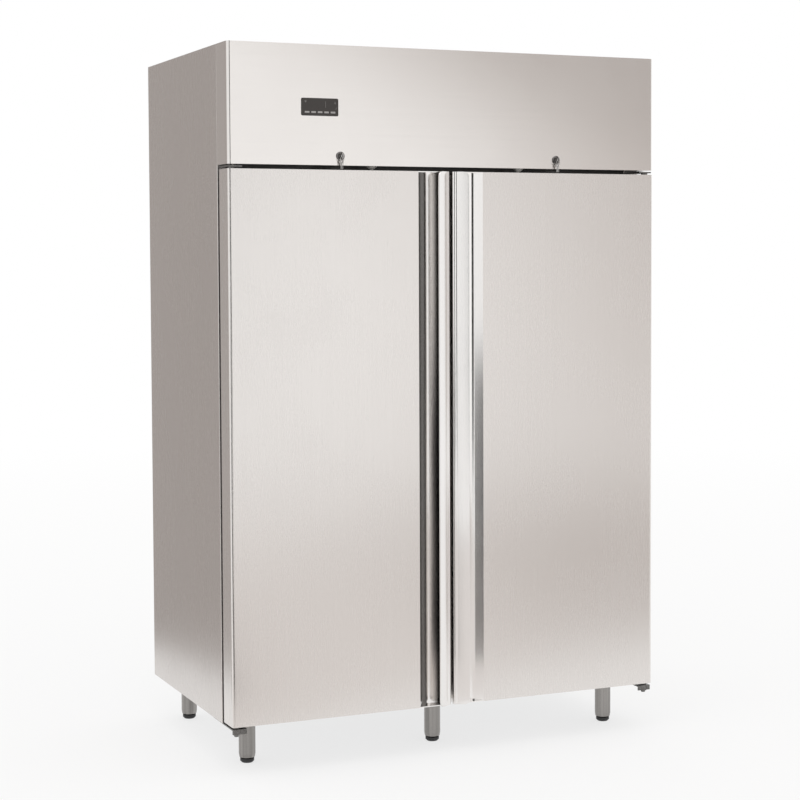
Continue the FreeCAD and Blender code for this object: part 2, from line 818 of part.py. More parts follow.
def hinges():
    brackets = []
    bolts = []
    plate = size.hinge_plate
    for word, side in sides.items():
        leaf_edge = half_width - size.hinge_side_gap
        leaf_x = ordered(side, leaf_edge - size.hinge_width, leaf_edge)
        axis_x = side * hinge_from_middle
        leaf_front = hinge_y - size.hinge_reach
        under = size.leg_height
        lower_leaf = block(f"{word}_lower_leaf", leaf_x, (leaf_front, front_y + size.hinge_tail),
                           (under - plate, under))
        lip = block(f"{word}_lower_lip", leaf_x, (leaf_front, leaf_front + plate),
                    (under - size.hinge_lip, under))
        pin_foot = under - plate - size.pin_nut_height
        tail = turned(f"{word}_pin_nut_end", [
            (0 * plate, pin_foot - size.pin_tail), (size.pin_radius, pin_foot - size.pin_tail),
            (size.pin_radius + plate / 2, pin_foot), (0 * plate, pin_foot),
        ], (axis_x, hinge_y, 0))
        nut = prism(f"{word}_pin_nut", (axis_x, hinge_y, pin_foot), size.pin_nut_radius, size.pin_nut_height)
        lower_pin = turned(f"{word}_lower_pin", [
            (0 * plate, under - plate), (size.collar_radius, under - plate),
            (size.collar_radius, door_bottom - size.collar_clearance),
            (size.pin_radius, door_bottom - size.collar_clearance),
            (size.pin_radius, door_bottom + size.pin_engagement),
            (0 * plate, door_bottom + size.pin_engagement),
        ], (axis_x, hinge_y, 0))
        brackets.append(join(f"{word}_lower_bracket", [lower_leaf, lip, tail, nut, lower_pin]))
        head = door_top + size.hinge_head_gap
        upper_leaf = block(f"{word}_upper_leaf", leaf_x, (leaf_front, front_y), (head, head + plate))
        upright = block(f"{word}_upper_upright", leaf_x, (front_y - plate, front_y),
                        (head, head + size.hinge_upright))
        upper_pin = turned(f"{word}_upper_pin", [
            (0 * plate, door_top - size.pin_engagement), (size.pin_radius, door_top - size.pin_engagement),
            (size.pin_radius, door_top + size.collar_clearance),
            (size.collar_radius, door_top + size.collar_clearance),
            (size.collar_radius, head + plate), (0 * plate, head + plate),
        ], (axis_x, hinge_y, 0))
        brackets.append(join(f"{word}_upper_bracket", [upper_leaf, upright, upper_pin]))
        bolt_x = side * (leaf_edge - size.hinge_width / 2)
        for row in range(2):
            bolt_y = front_y + size.hinge_tail / 3 + row * size.bolt_pitch
            lower_at = (bolt_x, bolt_y, under - plate - size.bolt_height)
            bolts.append(prism(f"{word}_lower_bolt_{row + 1}", lower_at, size.bolt_radius, size.bolt_height))
            bolt_z = head + size.hinge_upright / 3 + row * size.bolt_pitch
            upper_at = (bolt_x, front_y - plate - size.bolt_height, bolt_z)
            bolts.append(prism(f"{word}_upper_bolt_{row + 1}", upper_at, size.bolt_radius,
                               size.bolt_height, "y"))
    node(group("hinge_brackets", brackets))
    node(group("hinge_bolts", bolts))


bow_y = placed("bow_y", face_y - size.bezel_proud - size.plug_proud - size.key_bow_gap - size.key_bow_radius)
rim_radius = placed("rim_radius", (size.key_bow_radius + size.key_bow_hole) / 2)
rim_width = size.key_bow_radius - size.key_bow_hole
ring_gap = placed("ring_gap", rim_width / 2 + size.ring_wire + size.ring_clearance)
ring_drop = placed("ring_drop", rim_radius + size.ring_radius - ring_gap)


def lock(word, side):
    middle = side * size.lock_from_middle
    at_face = (middle, face_y, lock_z)
    bore = size.plug_radius + size.plug_clearance
    barrel = turned(f"{word}_lock_barrel", [
        (bore, -size.bezel_proud), (size.bezel_radius - size.bezel_proud / 2, -size.bezel_proud),
        (size.bezel_radius, -size.bezel_proud / 2), (size.bezel_radius, 0 * bore),
        (size.barrel_radius, 0 * bore),
        (size.barrel_radius, size.barrel_length), (bore, size.barrel_length),
    ], at_face, "y")
    plug_front = -size.bezel_proud - size.plug_proud
    stub_end = size.barrel_length + size.cam_gap + size.cam_thickness
    solid_plug = turned(f"{word}_plug_turned", [
        (0 * bore, plug_front), (size.plug_radius, plug_front),
        (size.plug_radius, size.barrel_length + size.cam_gap),
        (size.stub_radius, size.barrel_length + size.cam_gap), (size.stub_radius, stub_end),
        (0 * bore, stub_end),
    ], at_face, "y")
    blade_x = size.key_blade_thickness / 2
    blade_z = size.key_blade_height / 2
    slack = size.key_slack
    blade_back = face_y + size.key_blade_length
    keyway = block(f"{word}_keyway", (middle - blade_x - slack, middle + blade_x + slack),
                   (face_y + plug_front - slack, blade_back + slack),
                   (lock_z - blade_z - slack, lock_z + blade_z + slack))
    node(cut(f"{word}_lock_plug", solid_plug, [keyway]))
    cam_root = rod(f"{word}_cam_root", (middle, cam_front, lock_z), size.cam_radius, size.cam_thickness, "y")
    tip_x = middle - side * size.cam_length
    cam_tip = rod(f"{word}_cam_tip", (tip_x, cam_front, lock_z), size.cam_tip_radius, size.cam_thickness, "y")
    arm_x = (middle, tip_x) if side < 0 else (tip_x, middle)
    arm = block(f"{word}_cam_arm", arm_x, (cam_front, cam_back),
                (lock_z - size.cam_tip_radius, lock_z + size.cam_tip_radius))
    eye = rod(f"{word}_cam_eye", (middle, cam_front, lock_z), size.stub_radius, size.cam_thickness, "y")
    node(cut(f"{word}_lock_cam", join(f"{word}_cam_plate", [cam_root, arm, cam_tip]), [eye]))
    blade = block(f"{word}_key_blade", (middle - blade_x, middle + blade_x), (bow_y, blade_back),
                  (lock_z - blade_z, lock_z + blade_z))
    bow = rod(f"{word}_key_bow", (middle - size.key_bow_thickness / 2, bow_y, lock_z),
              size.key_bow_radius, size.key_bow_thickness, "x")
    hole = rod(f"{word}_key_hole", (middle - size.key_bow_thickness, bow_y, lock_z),
               size.key_bow_hole, 2 * size.key_bow_thickness, "x")
    node(cut(f"{word}_key", join(f"{word}_key_blank", [blade, bow]), [hole]))
    return barrel


def spare_key(name, side, lean, turn_word):
    # A small key on the ring, hanging straight down.
    angle = math.radians(number_of(lean))
    across = side * size.lock_from_middle + size.ring_radius * math.sin(angle)
    hang = size.spare_bow_hole - size.ring_wire - size.key_slack
    height = lock_z - ring_drop - size.ring_radius * math.cos(angle) - hang
    half = size.spare_thickness / 2
    start = (-half, 0 * half, 0 * half)
    bow = rod(name + "_bow", start, size.spare_bow_radius, size.spare_thickness, "x")
    hole = rod(name + "_hole", (-size.spare_thickness, 0 * half, 0 * half), size.spare_bow_hole,
               2 * size.spare_thickness, "x")
    blade = block(name + "_blade", (-half, half), (-size.spare_blade_width / 2, size.spare_blade_width / 2),
                  (-size.spare_bow_radius - size.spare_blade_length, -size.spare_bow_hole - half))
    blank = cut(name + "_blank", join(name + "_form", [bow, blade]), [hole])
    twist = Rotation(axes["z"], turn_word * number_of(size.spare_twist))
    return copied(name, blank, across, bow_y, height, twist)


def spare_keys(word, side):
    middle = side * size.lock_from_middle
    section = []
    for corner in range(6):
        angle = math.radians(60 * corner)
        section.append((size.ring_radius + size.ring_wire * math.cos(angle),
                        size.ring_wire * math.sin(angle)))
    ring = turned(f"{word}_key_ring", section, (middle, bow_y, lock_z - ring_drop), "y")
    keys = [
        spare_key(f"{word}_spare_a", side, -size.spare_spread, 1),
        spare_key(f"{word}_spare_b", side, size.spare_spread, -1),
    ]
    return group(f"{word}_spare_keys", [ring] + keys)


def locks():
    node(group("lock_barrels", [lock(word, side) for word, side in sides.items()]))
    for word, side in sides.items():
        node(spare_keys(word, side))


def door_switches():
    bodies = []
    bore = size.plunger_radius + size.plug_clearance
    for word, side in sides.items():
        at = (side * size.switch_from_middle, switch_y, 0)
        cone_foot = hood_bottom - size.switch_cone_drop
        bodies.append(turned(f"{word}_switch_body", [
            (bore, cone_foot), (size.switch_cone_tip, cone_foot), (size.switch_cone_radius, hood_bottom),
            (size.switch_body_radius, hood_bottom),
            (size.switch_body_radius, hood_bottom + size.switch_body_height),
            (bore, hood_bottom + size.switch_body_height),
        ], at))
        tip = door_top + size.plunger_tip_gap
        flat = size.plunger_radius / 2
        node(turned(f"{word}_switch_plunger", [
            (0 * flat, tip), (flat, tip), (size.plunger_radius, tip + flat),
            (size.plunger_radius, tip + size.plunger_length), (0 * flat, tip + size.plunger_length),
        ], at))
    node(group("door_switch_bodies", bodies))


def legs():
    tubes = []
    feet = []
    inner = size.leg_radius - size.leg_wall
    mouth = size.foot_stem_radius + size.pin_clearance
    top = size.leg_height
    plate = size.leg_plate_thickness
    round_over = size.leg_round
    bead = size.foot_show + 2 * round_over
    for row, back in (("front", size.leg_front), ("rear", size.leg_rear)):
        for column in (-1, 0, 1):
            name = f"{row}_leg_{column + 2}"
            at = (column * (half_width - size.leg_inset), face_y + back, 0)
            shaft = turned(name + "_tube", [
                (mouth, size.foot_show), (size.leg_radius - round_over, size.foot_show),
                (size.leg_radius - round_over / 4, size.foot_show + round_over / 2),
                (size.leg_radius, bead), (size.leg_radius, top - plate),
                (inner, top - plate), (inner, bead), (mouth, bead),
            ], at)
            half = size.leg_plate / 2
            flat = block(name + "_plate", (at[0] - half, at[0] + half), (at[1] - half, at[1] + half),
                         (top - plate, top))
            tubes.append(join(name, [shaft, flat]))
            rim = size.foot_show - size.foot_seat_gap
            feet.append(turned(name + "_foot", [
                (0 * half, 0 * half), (size.foot_radius - size.foot_round, 0 * half),
                (size.foot_radius, size.foot_round), (size.foot_radius, rim), (size.foot_stem_radius, rim),
                (size.foot_stem_radius, size.foot_stem_length), (0 * half, size.foot_stem_length),
            ], at))
    node(group("leg_tubes", tubes))
    node(group("foot_inserts", feet))


upright_front_y = placed("upright_front_y", foam_front + size.upright_front)
upright_rear_y = placed("upright_rear_y", liner_back - size.upright_rear)
rail_front = placed("rail_front", upright_front_y - size.rail_overhang)
rail_back = placed("rail_back", upright_rear_y + size.rail_overhang)
wall_rail_x = placed("wall_rail_x", liner_x - size.upright_depth)
middle_rail_x = placed("middle_rail_x", size.upright_depth / 2)


def upright(name, across, along_y, narrow_x):
    # A slotted strip standing from the floor to below the evaporator.
    if narrow_x:
        x = (across, across + size.upright_depth)
        y = (along_y - size.upright_width / 2, along_y + size.upright_width / 2)
    else:
        x = (across - size.upright_width / 2, across + size.upright_width / 2)
        y = (along_y, along_y + size.upright_depth)
    foot = liner_floor + size.upright_foot
    head = liner_top - size.upright_head
    strip = block(name + "_strip", x, y, (foot, head))
    slots = []
    count = int(number_of((head - foot) / size.upright_slot_pitch))
    for index in range(count):
        height = foot + size.upright_slot_pitch * (index + 0.5)
        half = size.upright_slot_width / 2
        slack = size.rail_sheet
        if narrow_x:
            slot_x = (x[0] - slack, x[1] + slack)
            slot_y = (along_y - half, along_y + half)
        else:
            slot_x = (across - half, across + half)
            slot_y = (y[0] - slack, y[1] + slack)
        slot_z = (height, height + size.upright_slot_height)
        slots.append(block(f"{name}_slot_{index + 1}", slot_x, slot_y, slot_z))
    return cut(name, strip, slots)


def rail(name, side, wall_x, height):
    # A shelf slide of angle section: flat side against the upright, ledge towards the shelf.
    inner = wall_x + side * size.rail_sheet
    edge = wall_x + side * size.rail_width
    return extrusion(name, [
        (wall_x, height), (edge, height), (edge, height + size.rail_sheet), (inner, height + size.rail_sheet),
        (inner, height + size.rail_height), (wall_x, height + size.rail_height),
    ], (rail_front, rail_back), "y")


def wire_shelf(name, x, height):
    # Welded grid: four frame rods and the wires across them.
    frame = size.shelf_frame_radius
    wire = size.shelf_wire_radius
    near_y = rail_front + size.shelf_play
    far_y = rail_back - size.shelf_play
    left = x[0] + frame
    right = x[1] - frame
    deep = far_y - near_y
    wide = right - left
    level = height + frame
    rod_sides = 8
    wire_sides = 6
    rods = [
        prism(name + "_left", (left, near_y, level), frame, deep, "y", rod_sides),
        prism(name + "_right", (right, near_y, level), frame, deep, "y", rod_sides),
        prism(name + "_front", (left, near_y + frame, level), frame, wide, "x", rod_sides),
        prism(name + "_back", (left, far_y - frame, level), frame, wide, "x", rod_sides),
        prism(name + "_cross", (left, (near_y + far_y) / 2, level), frame, wide, "x", rod_sides),
    ]
    count = sizes["shelf_wire_count"]
    for index in range(count):
        across = left + wide * ((index + 1) / (count + 1))
        wire_at = (across, near_y + frame, level + frame)
        rods.append(prism(f"{name}_wire_{index + 1}", wire_at, wire, deep - 2 * frame, "y", wire_sides))
    return join(name, rods)


def shelving():
    strips = []
    for word, side in sides.items():
        wall = wall_rail_x if side > 0 else -liner_x
        strips.append(upright(f"{word}_front_upright", wall, upright_front_y, True))
        strips.append(upright(f"{word}_rear_upright", wall, upright_rear_y, True))
    strips.append(upright("middle_front_upright", -middle_rail_x, upright_front_y, True))
    strips.append(upright("middle_rear_upright", -middle_rail_x, upright_rear_y, True))
    rails = []
    for word, side in sides.items():
        shelves = []
        for index in range(sizes["shelf_count"]):
            height = liner_floor + size.shelf_first + index * size.shelf_pitch
            rails.append(rail(f"{word}_wall_rail_{index + 1}", -side, side * wall_rail_x, height))
            rails.append(rail(f"{word}_middle_rail_{index + 1}", side, side * middle_rail_x, height))
            play = size.rail_sheet + size.shelf_play
            span = ordered(side, middle_rail_x + play, wall_rail_x - play)
            seat = height + size.rail_sheet + size.shelf_seat_gap
            shelves.append(wire_shelf(f"{word}_shelf_{index + 1}", span, seat))
        node(group(f"{word}_shelves", shelves))
    node(group("shelf_rails", rails))
    node(group("shelf_uprights", strips))


def finned_coil(name, x, y, z, fin_count, along, rows):
    # Fins across the tubes, with an end plate at each end; the tubes run along X or Y.
    spans = {"x": x, "y": y}
    run = spans[along]
    length = run[1] - run[0]
    pieces = []
    for index in range(fin_count):
        start = run[0] + length * ((index + 0.5) / fin_count) - size.fin_thickness / 2
        fin = dict(spans)
        fin[along] = (start, start + size.fin_thickness)
        pieces.append(block(f"{name}_fin_{index + 1}", fin["x"], fin["y"], z))
    for end, place in (("near", run[0]), ("far", run[1] - size.end_plate)):
        plate = dict(spans)
        plate[along] = (place, place + size.end_plate)
        pieces.append(block(f"{name}_{end}_plate", plate["x"], plate["y"], z))
    overhang = 2 * size.coil_tube_radius
    for row in range(rows):
        height = z[0] + (z[1] - z[0]) * ((row + 0.5) / rows)
        at = {"x": (x[0] + x[1]) / 2, "y": (y[0] + y[1]) / 2}
        at[along] = run[0] - overhang
        pieces.append(prism(f"{name}_tube_{row + 1}", (at["x"], at["y"], height), size.coil_tube_radius,
                            length + 2 * overhang, along, 8))
    for bend in range(rows - 1):
        place = run[0] - overhang if bend % 2 else run[1] + overhang - size.coil_tube_radius
        link = {"x": at["x"] - size.coil_tube_radius, "y": at["y"] - size.coil_tube_radius}
        link[along] = place
        low = z[0] + (z[1] - z[0]) * ((bend + 0.5) / rows)
        high = z[0] + (z[1] - z[0]) * ((bend + 1.5) / rows)
        wide = {"x": 2 * size.coil_tube_radius, "y": 2 * size.coil_tube_radius}
        wide[along] = size.coil_tube_radius
        pieces.append(block(f"{name}_bend_{bend + 1}", (link["x"], link["x"] + wide["x"]),
                            (link["y"], link["y"] + wide["y"]), (low, high)))
    return join(name, pieces)


def fan_rotor(name, radius, at, along):
    # Hub, shaft and twisted blades; the shaft points down the axis into the motor.
    hub = number_of(size.fan_hub_radius)
    deep = number_of(size.fan_hub_length)
    thick = number_of(size.fan_blade_thickness)
    chord = number_of(size.fan_blade_chord)
    tip = number_of(radius)
    parts = [
        Part.makeCylinder(hub, deep, Vector(0, 0, -deep / 2)),
        Part.makeCylinder(number_of(size.fan_shaft_radius), number_of(size.fan_shaft_length),
                          Vector(0, 0, -deep / 2 - number_of(size.fan_shaft_length))),
    ]
    count = sizes["fan_blade_count"]
    stations = ((hub * 0.8, sizes["fan_pitch_root"], 0.7), (tip, sizes["fan_pitch_tip"], 1.0))
    for index in range(count):
        sections = []
        for reach, pitch, share in stations:
            angle = math.radians(pitch)
            half = min(chord * share, 2 * math.pi * reach / count) / 2
            along_chord = Vector(0, math.cos(angle), math.sin(angle))
            across_chord = Vector(0, -math.sin(angle), math.cos(angle)) * (thick / 2)
            middle = Vector(math.sqrt(reach ** 2 - (half * math.cos(angle)) ** 2), 0, 0)
            corners = [middle + along_chord * half + across_chord, middle - along_chord * half + across_chord,
                       middle - along_chord * half - across_chord, middle + along_chord * half - across_chord]
            sections.append(Part.makePolygon(corners + corners[:1]))
        blade = Part.makeLoft(sections, True, True)
        blade.rotate(Vector(), axes["z"], 360 * index / count)
        parts.append(blade)
    rotor = document.addObject("Part::Feature", name)
    rotor.Shape = parts[0].fuse(parts[1:]).removeSplitter()
    return put(rotor, *at, Rotation(axes["z"], axes[along]))


def fan_motor(name, at, along, arm_reach, arm_drop):
    # Round motor with a bore for the shaft and three arms to its seat.
    radius = number_of(size.motor_radius)
    length = number_of(size.motor_length)
    bore = number_of(size.fan_shaft_radius) + number_of(size.shaft_clearance)
    shaft_depth = number_of(size.fan_shaft_length) - number_of(size.motor_gap)
    arm = number_of(size.motor_arm_radius)
    reach = number_of(arm_reach)
    drop = number_of(arm_drop)
    case = Part.makeCylinder(radius, length, Vector(0, 0, -length))
    case = case.makeChamfer(radius / 5, [edge for edge in case.Edges if edge.Closed])
    arms = []
    for index in range(3):
        spoke = Part.makeBox(reach, 2 * arm, 2 * arm, Vector(0, -arm, -length / 2 - arm))
        post = Part.makeBox(2 * arm, 2 * arm, drop + length / 2 + arm,
                            Vector(reach - 2 * arm, -arm, -length / 2 - arm))
        for piece in (spoke, post):
            piece.rotate(Vector(), axes["z"], 120 * index + 60)
            arms.append(piece)
    body = case.fuse(arms).cut(Part.makeCylinder(bore, shaft_depth, Vector(0, 0, -shaft_depth)))
    motor = document.addObject("Part::Feature", name)
    motor.Shape = body.removeSplitter()
    return put(motor, *at, Rotation(axes["z"], axes[along]))


def evaporator():
    half = size.evaporator_width / 2
    skin = size.evaporator_sheet
    back = liner_back - size.evaporator_back_gap
    front = back - size.evaporator_depth
    floor = liner_top - size.evaporator_height
    fan_y = front + size.evaporator_fan_front
    # Five sheet panels: a floor tray, a front, an outlet panel behind and two ends.
    tray = block("evaporator_tray", (-half, half), (front, back), (floor, floor + skin))
    upright_z = (floor + skin, liner_top)
    inner_span = (skin - half, half - skin)
    panels = [block(f"evaporator_{word}_end", ordered(side, half - skin, half), (front, back), upright_z)
              for word, side in sides.items()]
    panels.append(block("evaporator_front", inner_span, (front, front + skin), upright_z))
    rear = block("evaporator_rear", inner_span, (back - skin, back), upright_z)
    ring = size.evaporator_fan_radius + size.fan_tip_clearance
    mouth = rod("evaporator_mouth", (0, fan_y, floor - skin), ring, 3 * skin)
    middle = floor + size.evaporator_height / 2
    outlet_z = (middle - size.outlet_height / 2, middle + size.outlet_height / 2)
    outlets = []
    for index in range(sizes["outlet_count"]):
        across = (index - (sizes["outlet_count"] - 1) / 2) * size.outlet_pitch
        outlet_x = (across - size.outlet_width / 2, across + size.outlet_width / 2)
        outlets.append(block(f"evaporator_outlet_{index + 1}", outlet_x, (back - 2 * skin, back + skin),
                             outlet_z))
    panels.append(cut("evaporator_outlet_panel", rear, outlets))
    panels.append(cut("evaporator_fan_tray", tray, [mouth]))
    node(group("evaporator_cover", panels))
    coil_half = size.evaporator_coil_width / 2
    coil_front = fan_y + ring + size.evaporator_back_gap / 2
    coil_y = (coil_front, coil_front + size.evaporator_coil_depth)
    coil_z = (floor + skin, floor + skin + size.evaporator_coil_height)
    node(finned_coil("evaporator_coil", (-coil_half, coil_half), coil_y, coil_z,
                     sizes["evaporator_fin_count"], "x", sizes["evaporator_row_count"]))
    hub_z = floor + size.fan_hub_length / 2
    node(fan_rotor("evaporator_fan", size.evaporator_fan_radius, (0, fan_y, hub_z), "-z"))
    motor_face = size.fan_hub_length / 2 + size.motor_gap
    node(fan_motor("evaporator_fan_motor", (0, fan_y, hub_z + motor_face), "-z",
                   ring + 4 * size.motor_arm_radius, motor_face + size.fan_hub_length / 2 - skin))


unit_y = placed("unit_y", front_y + size.unit_back)
unit_floor = placed("unit_floor", deck_top + size.unit_sheet)
compressor_x = placed("compressor_x", size.unit_from_middle - size.compressor_offset)
condenser_x = placed("condenser_x", size.unit_from_middle + size.condenser_offset)
condenser_mid_z = placed("condenser_mid_z", unit_floor + size.condenser_height / 2)


def unit_tray():
    half = size.unit_width / 2
    deep = size.unit_depth / 2
    x = (size.unit_from_middle - half, size.unit_from_middle + half)
    y = (unit_y - deep, unit_y + deep)
    tray = block("unit_tray", x, y, (deck_top, deck_top + size.unit_flange))
    wall = size.unit_sheet
    hollow = block("unit_tray_hollow", (x[0] + wall, x[1] - wall), (y[0] + wall, y[1] - wall),
                   (unit_floor, deck_top + 2 * size.unit_flange))
    node(cut("unit_base", tray, [hollow]))


stub_height = placed("stub_height", size.compressor_foot + size.compressor_height * 0.72)


def compressor():
    # Welded pot with a domed lid, a seam flange, a foot plate and two pipe stubs.
    radius = size.compressor_radius
    foot = size.compressor_foot
    top = foot + size.compressor_height
    seam = foot + size.compressor_height * 0.55
    bead = size.coil_tube_radius
    pot = turned("compressor_pot", [
        (0 * foot, foot), (radius * 0.8, foot), (radius, foot + radius * 0.25), (radius, seam),
        (radius + bead, seam), (radius + bead, seam + bead),
        (radius, seam + bead), (radius * 0.97, top - radius * 0.35),
        (radius * 0.72, top - radius * 0.1), (radius * 0.3, top), (0 * foot, top),
    ], (compressor_x, unit_y, unit_floor))
    plate = block("compressor_plate", (compressor_x - radius, compressor_x + radius),
                  (unit_y - radius, unit_y + radius),
                  (unit_floor + foot - size.unit_sheet, unit_floor + foot))
    mounts = []
    spread = radius * 0.82
    for column in (-1, 1):
        for row in (-1, 1):
            mount_at = (compressor_x + column * spread, unit_y + row * spread, unit_floor)
            mounts.append(rod(f"compressor_mount_{column + 1}_{row + 1}", mount_at, foot * 0.7, foot))
    stub_z = unit_floor + stub_height
    reach = radius + size.pipe_stub
    stubs = [
        rod("suction_stub", (compressor_x, unit_y, stub_z), size.pipe_radius, reach, "y"),
        rod("discharge_stub", (compressor_x, unit_y - reach, stub_z), size.pipe_radius, reach, "y"),
    ]
    node(join("compressor", [pot, plate] + mounts + stubs))


shroud_front = placed("shroud_front", condenser_x - size.shroud_depth)
fan_plane = placed("fan_plane", shroud_front + size.shroud_sheet / 2)


def condenser():
    half = size.condenser_width / 2
    y = (unit_y - half, unit_y + half)
    z = (unit_floor, unit_floor + size.condenser_height)
    coil = finned_coil("condenser_core", (condenser_x, condenser_x + size.condenser_depth), y, z,
                       sizes["condenser_fin_count"], "y", sizes["condenser_row_count"])
    node(coil)
    coil.Label = "condenser_coil"
    skin = size.shroud_sheet
    box = block("shroud_box", (shroud_front, condenser_x), y, z)
    hollow = block("shroud_hollow", (shroud_front + skin, condenser_x + skin),
                   (y[0] + skin, y[1] - skin), (z[0] + skin, z[1] - skin))
    ring = size.condenser_fan_radius + size.fan_tip_clearance
    mouth = rod("shroud_mouth", (shroud_front - skin, unit_y, condenser_mid_z), ring, 3 * skin, "x")
    collar_at = (shroud_front - size.fan_hub_length / 2, unit_y, condenser_mid_z)
    collar = rod("shroud_collar", collar_at, ring + skin, size.fan_hub_length, "x")
    bore_at = (shroud_front - size.fan_hub_length, unit_y, condenser_mid_z)
    collar_bore = rod("shroud_collar_bore", bore_at, ring, 2 * size.fan_hub_length, "x")
    shell = cut("shroud_shell", box, [hollow, mouth])
    node(join("fan_shroud", [shell, cut("shroud_ring", collar, [collar_bore])]))
    node(fan_rotor("condenser_fan", size.condenser_fan_radius, (fan_plane, unit_y, condenser_mid_z), "x"))
    motor_face = size.fan_hub_length / 2 + size.motor_gap
    node(fan_motor("condenser_fan_motor", (fan_plane - motor_face, unit_y, condenser_mid_z), "x",
                   ring + 4 * size.motor_arm_radius, motor_face - size.shroud_sheet / 2))


def bent_pipe(points, radius, bend):
    # Straight runs joined by tangent arcs, drawn out with an eight-sided section.
    edges = []
    start = points[0]
    for before, corner, after in zip(points, points[1:], points[2:]):
        inward = (before - corner).normalize()
        outward = (after - corner).normalize()
        half_turn = (math.pi - inward.getAngle(outward)) / 2
        setback = bend * math.tan(half_turn)
        arc_start = corner + inward * setback
        arc_end = corner + outward * setback
        bulge = (inward + outward).normalize()
        crown = corner + bulge * (bend / math.cos(half_turn) - bend)
        edges.append(Part.LineSegment(start, arc_start).toShape())
        edges.append(Part.Arc(arc_start, crown, arc_end).toShape())
        start = arc_end
    edges.append(Part.LineSegment(start, points[-1]).toShape())
    route = Part.Wire(edges)
    facing = Rotation(axes["z"], points[1] - points[0])
    rim = []
    for corner in range(8):
        angle = math.radians(45 * corner + 22.5)
        rim.append(points[0] + facing.multVec(Vector(radius * math.cos(angle), radius * math.sin(angle), 0)))
    section = Part.makePolygon(rim + rim[:1])
    return route.makePipeShell([section], True, False)


def pipework():
    radius = number_of(size.pipe_radius)
    bend = number_of(size.pipe_bend)
    stub_z = number_of(unit_floor + stub_height)
    reach = number_of(size.compressor_radius + size.pipe_stub)
    pot_x, pot_y = number_of(compressor_x), number_of(unit_y)
    deck = number_of(deck_top)
    coil_x = number_of(condenser_x + size.condenser_depth / 2)
    coil_y = number_of(unit_y - size.condenser_width / 2) - 2 * number_of(size.coil_tube_radius)
    high = number_of(unit_floor) + number_of(size.condenser_height) * 0.9
    low = number_of(unit_floor) + number_of(size.condenser_height) * 0.1
    drop_x = number_of(size.unit_from_middle - size.unit_width / 2) - 3 * bend
    out = 3 * bend
    suction = bent_pipe([
        Vector(pot_x, pot_y + reach, stub_z), Vector(pot_x, pot_y + reach + out, stub_z),
        Vector(drop_x, pot_y + reach + out, stub_z), Vector(drop_x, pot_y + reach + out, deck),
    ], radius, bend)
    front = min(pot_y - reach, coil_y) - out
    discharge = bent_pipe([
        Vector(pot_x, pot_y - reach, stub_z), Vector(pot_x, front, stub_z),
        Vector(coil_x - out, front, stub_z), Vector(coil_x - out, front, high),
        Vector(coil_x, front, high), Vector(coil_x, coil_y, high),
    ], radius, bend)
    drier_x = number_of(size.unit_from_middle)
    drier_end = drier_x - number_of(size.drier_length)
    liquid_out = bent_pipe([
        Vector(coil_x, coil_y, low), Vector(coil_x, front - out, low), Vector(drier_x, front - out, low),
    ], radius, bend)
    drier = Part.makeCylinder(number_of(size.drier_radius), number_of(size.drier_length),
                              Vector(drier_end, front - out, low), Vector(1, 0, 0))
    drier = drier.makeChamfer(radius, [edge for edge in drier.Edges if edge.Closed])
    liquid_in = bent_pipe([
        Vector(drier_end, front - out, low), Vector(drop_x, front - out, low),
        Vector(drop_x, front - out, deck),
    ], radius / 2, bend)
    pipes = document.addObject("Part::Feature", "refrigerant_pipes")
    pipes.Shape = Part.makeCompound([suction, discharge, liquid_out.fuse([drier, liquid_in])])
    node(pipes)


def electrical_box():
    half = size.box_width / 2
    deep = size.box_depth / 2
    middle = size.box_from_side - half_width
    case = extrusion("electrical_case", [
        (middle - half, unit_y - deep), (middle + half, unit_y - deep),
        (middle + half, unit_y + deep), (middle - half, unit_y + deep),
    ], (deck_top, deck_top + size.box_height))
    rounded(case, "electrical_case_corners", size.box_radius, near(
        (middle - half, unit_y - deep), (middle + half, unit_y - deep),
        (middle + half, unit_y + deep), (middle - half, unit_y + deep)))
    gland = prism("cord_gland", (middle, unit_y + deep, deck_top + size.box_height / 2), size.gland_radius,
                  size.gland_length, "y")
    node(join("electrical_box", [case, gland]))


cabinet_shell()
cabinet_liner()
hood()
controller()
doors()
hinges()
locks()
door_switches()
legs()
shelving()
evaporator()
unit_tray()
compressor()
condenser()
pipework()
electrical_box()

document.recompute()
faulty = [item.Label for item in document.Objects if {"Invalid", "Error"} & set(item.State)]
broken = [item.Label for item in nodes if item.Shape.isNull() or not item.Shape.isValid()]
if faulty or broken:
    raise SystemExit(f"failed features: {faulty}; bad shapes: {broken}")

os.makedirs("parts", exist_ok=True)
for item in nodes:
    item.Shape.exportStep(os.path.join("parts", item.Label + ".step"))
print(len(nodes), "sub-parts written")
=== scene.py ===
import math
import bmesh
import bpy
from mathutils import Matrix, Vector


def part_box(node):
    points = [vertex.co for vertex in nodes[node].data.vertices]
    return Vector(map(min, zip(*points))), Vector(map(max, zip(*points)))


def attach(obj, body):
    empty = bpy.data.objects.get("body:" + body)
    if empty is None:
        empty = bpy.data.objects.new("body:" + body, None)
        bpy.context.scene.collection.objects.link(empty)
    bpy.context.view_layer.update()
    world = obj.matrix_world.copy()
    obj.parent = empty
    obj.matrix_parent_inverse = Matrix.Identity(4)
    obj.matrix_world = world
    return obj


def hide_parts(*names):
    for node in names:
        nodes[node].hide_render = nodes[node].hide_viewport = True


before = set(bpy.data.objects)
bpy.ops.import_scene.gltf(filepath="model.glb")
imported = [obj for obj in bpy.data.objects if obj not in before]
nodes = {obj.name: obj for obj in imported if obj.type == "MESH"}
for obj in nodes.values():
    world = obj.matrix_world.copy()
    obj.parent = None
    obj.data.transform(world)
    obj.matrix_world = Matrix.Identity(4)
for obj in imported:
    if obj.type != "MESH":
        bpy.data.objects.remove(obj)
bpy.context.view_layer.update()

scene = bpy.context.scene
scene.view_settings.view_transform = "Standard"
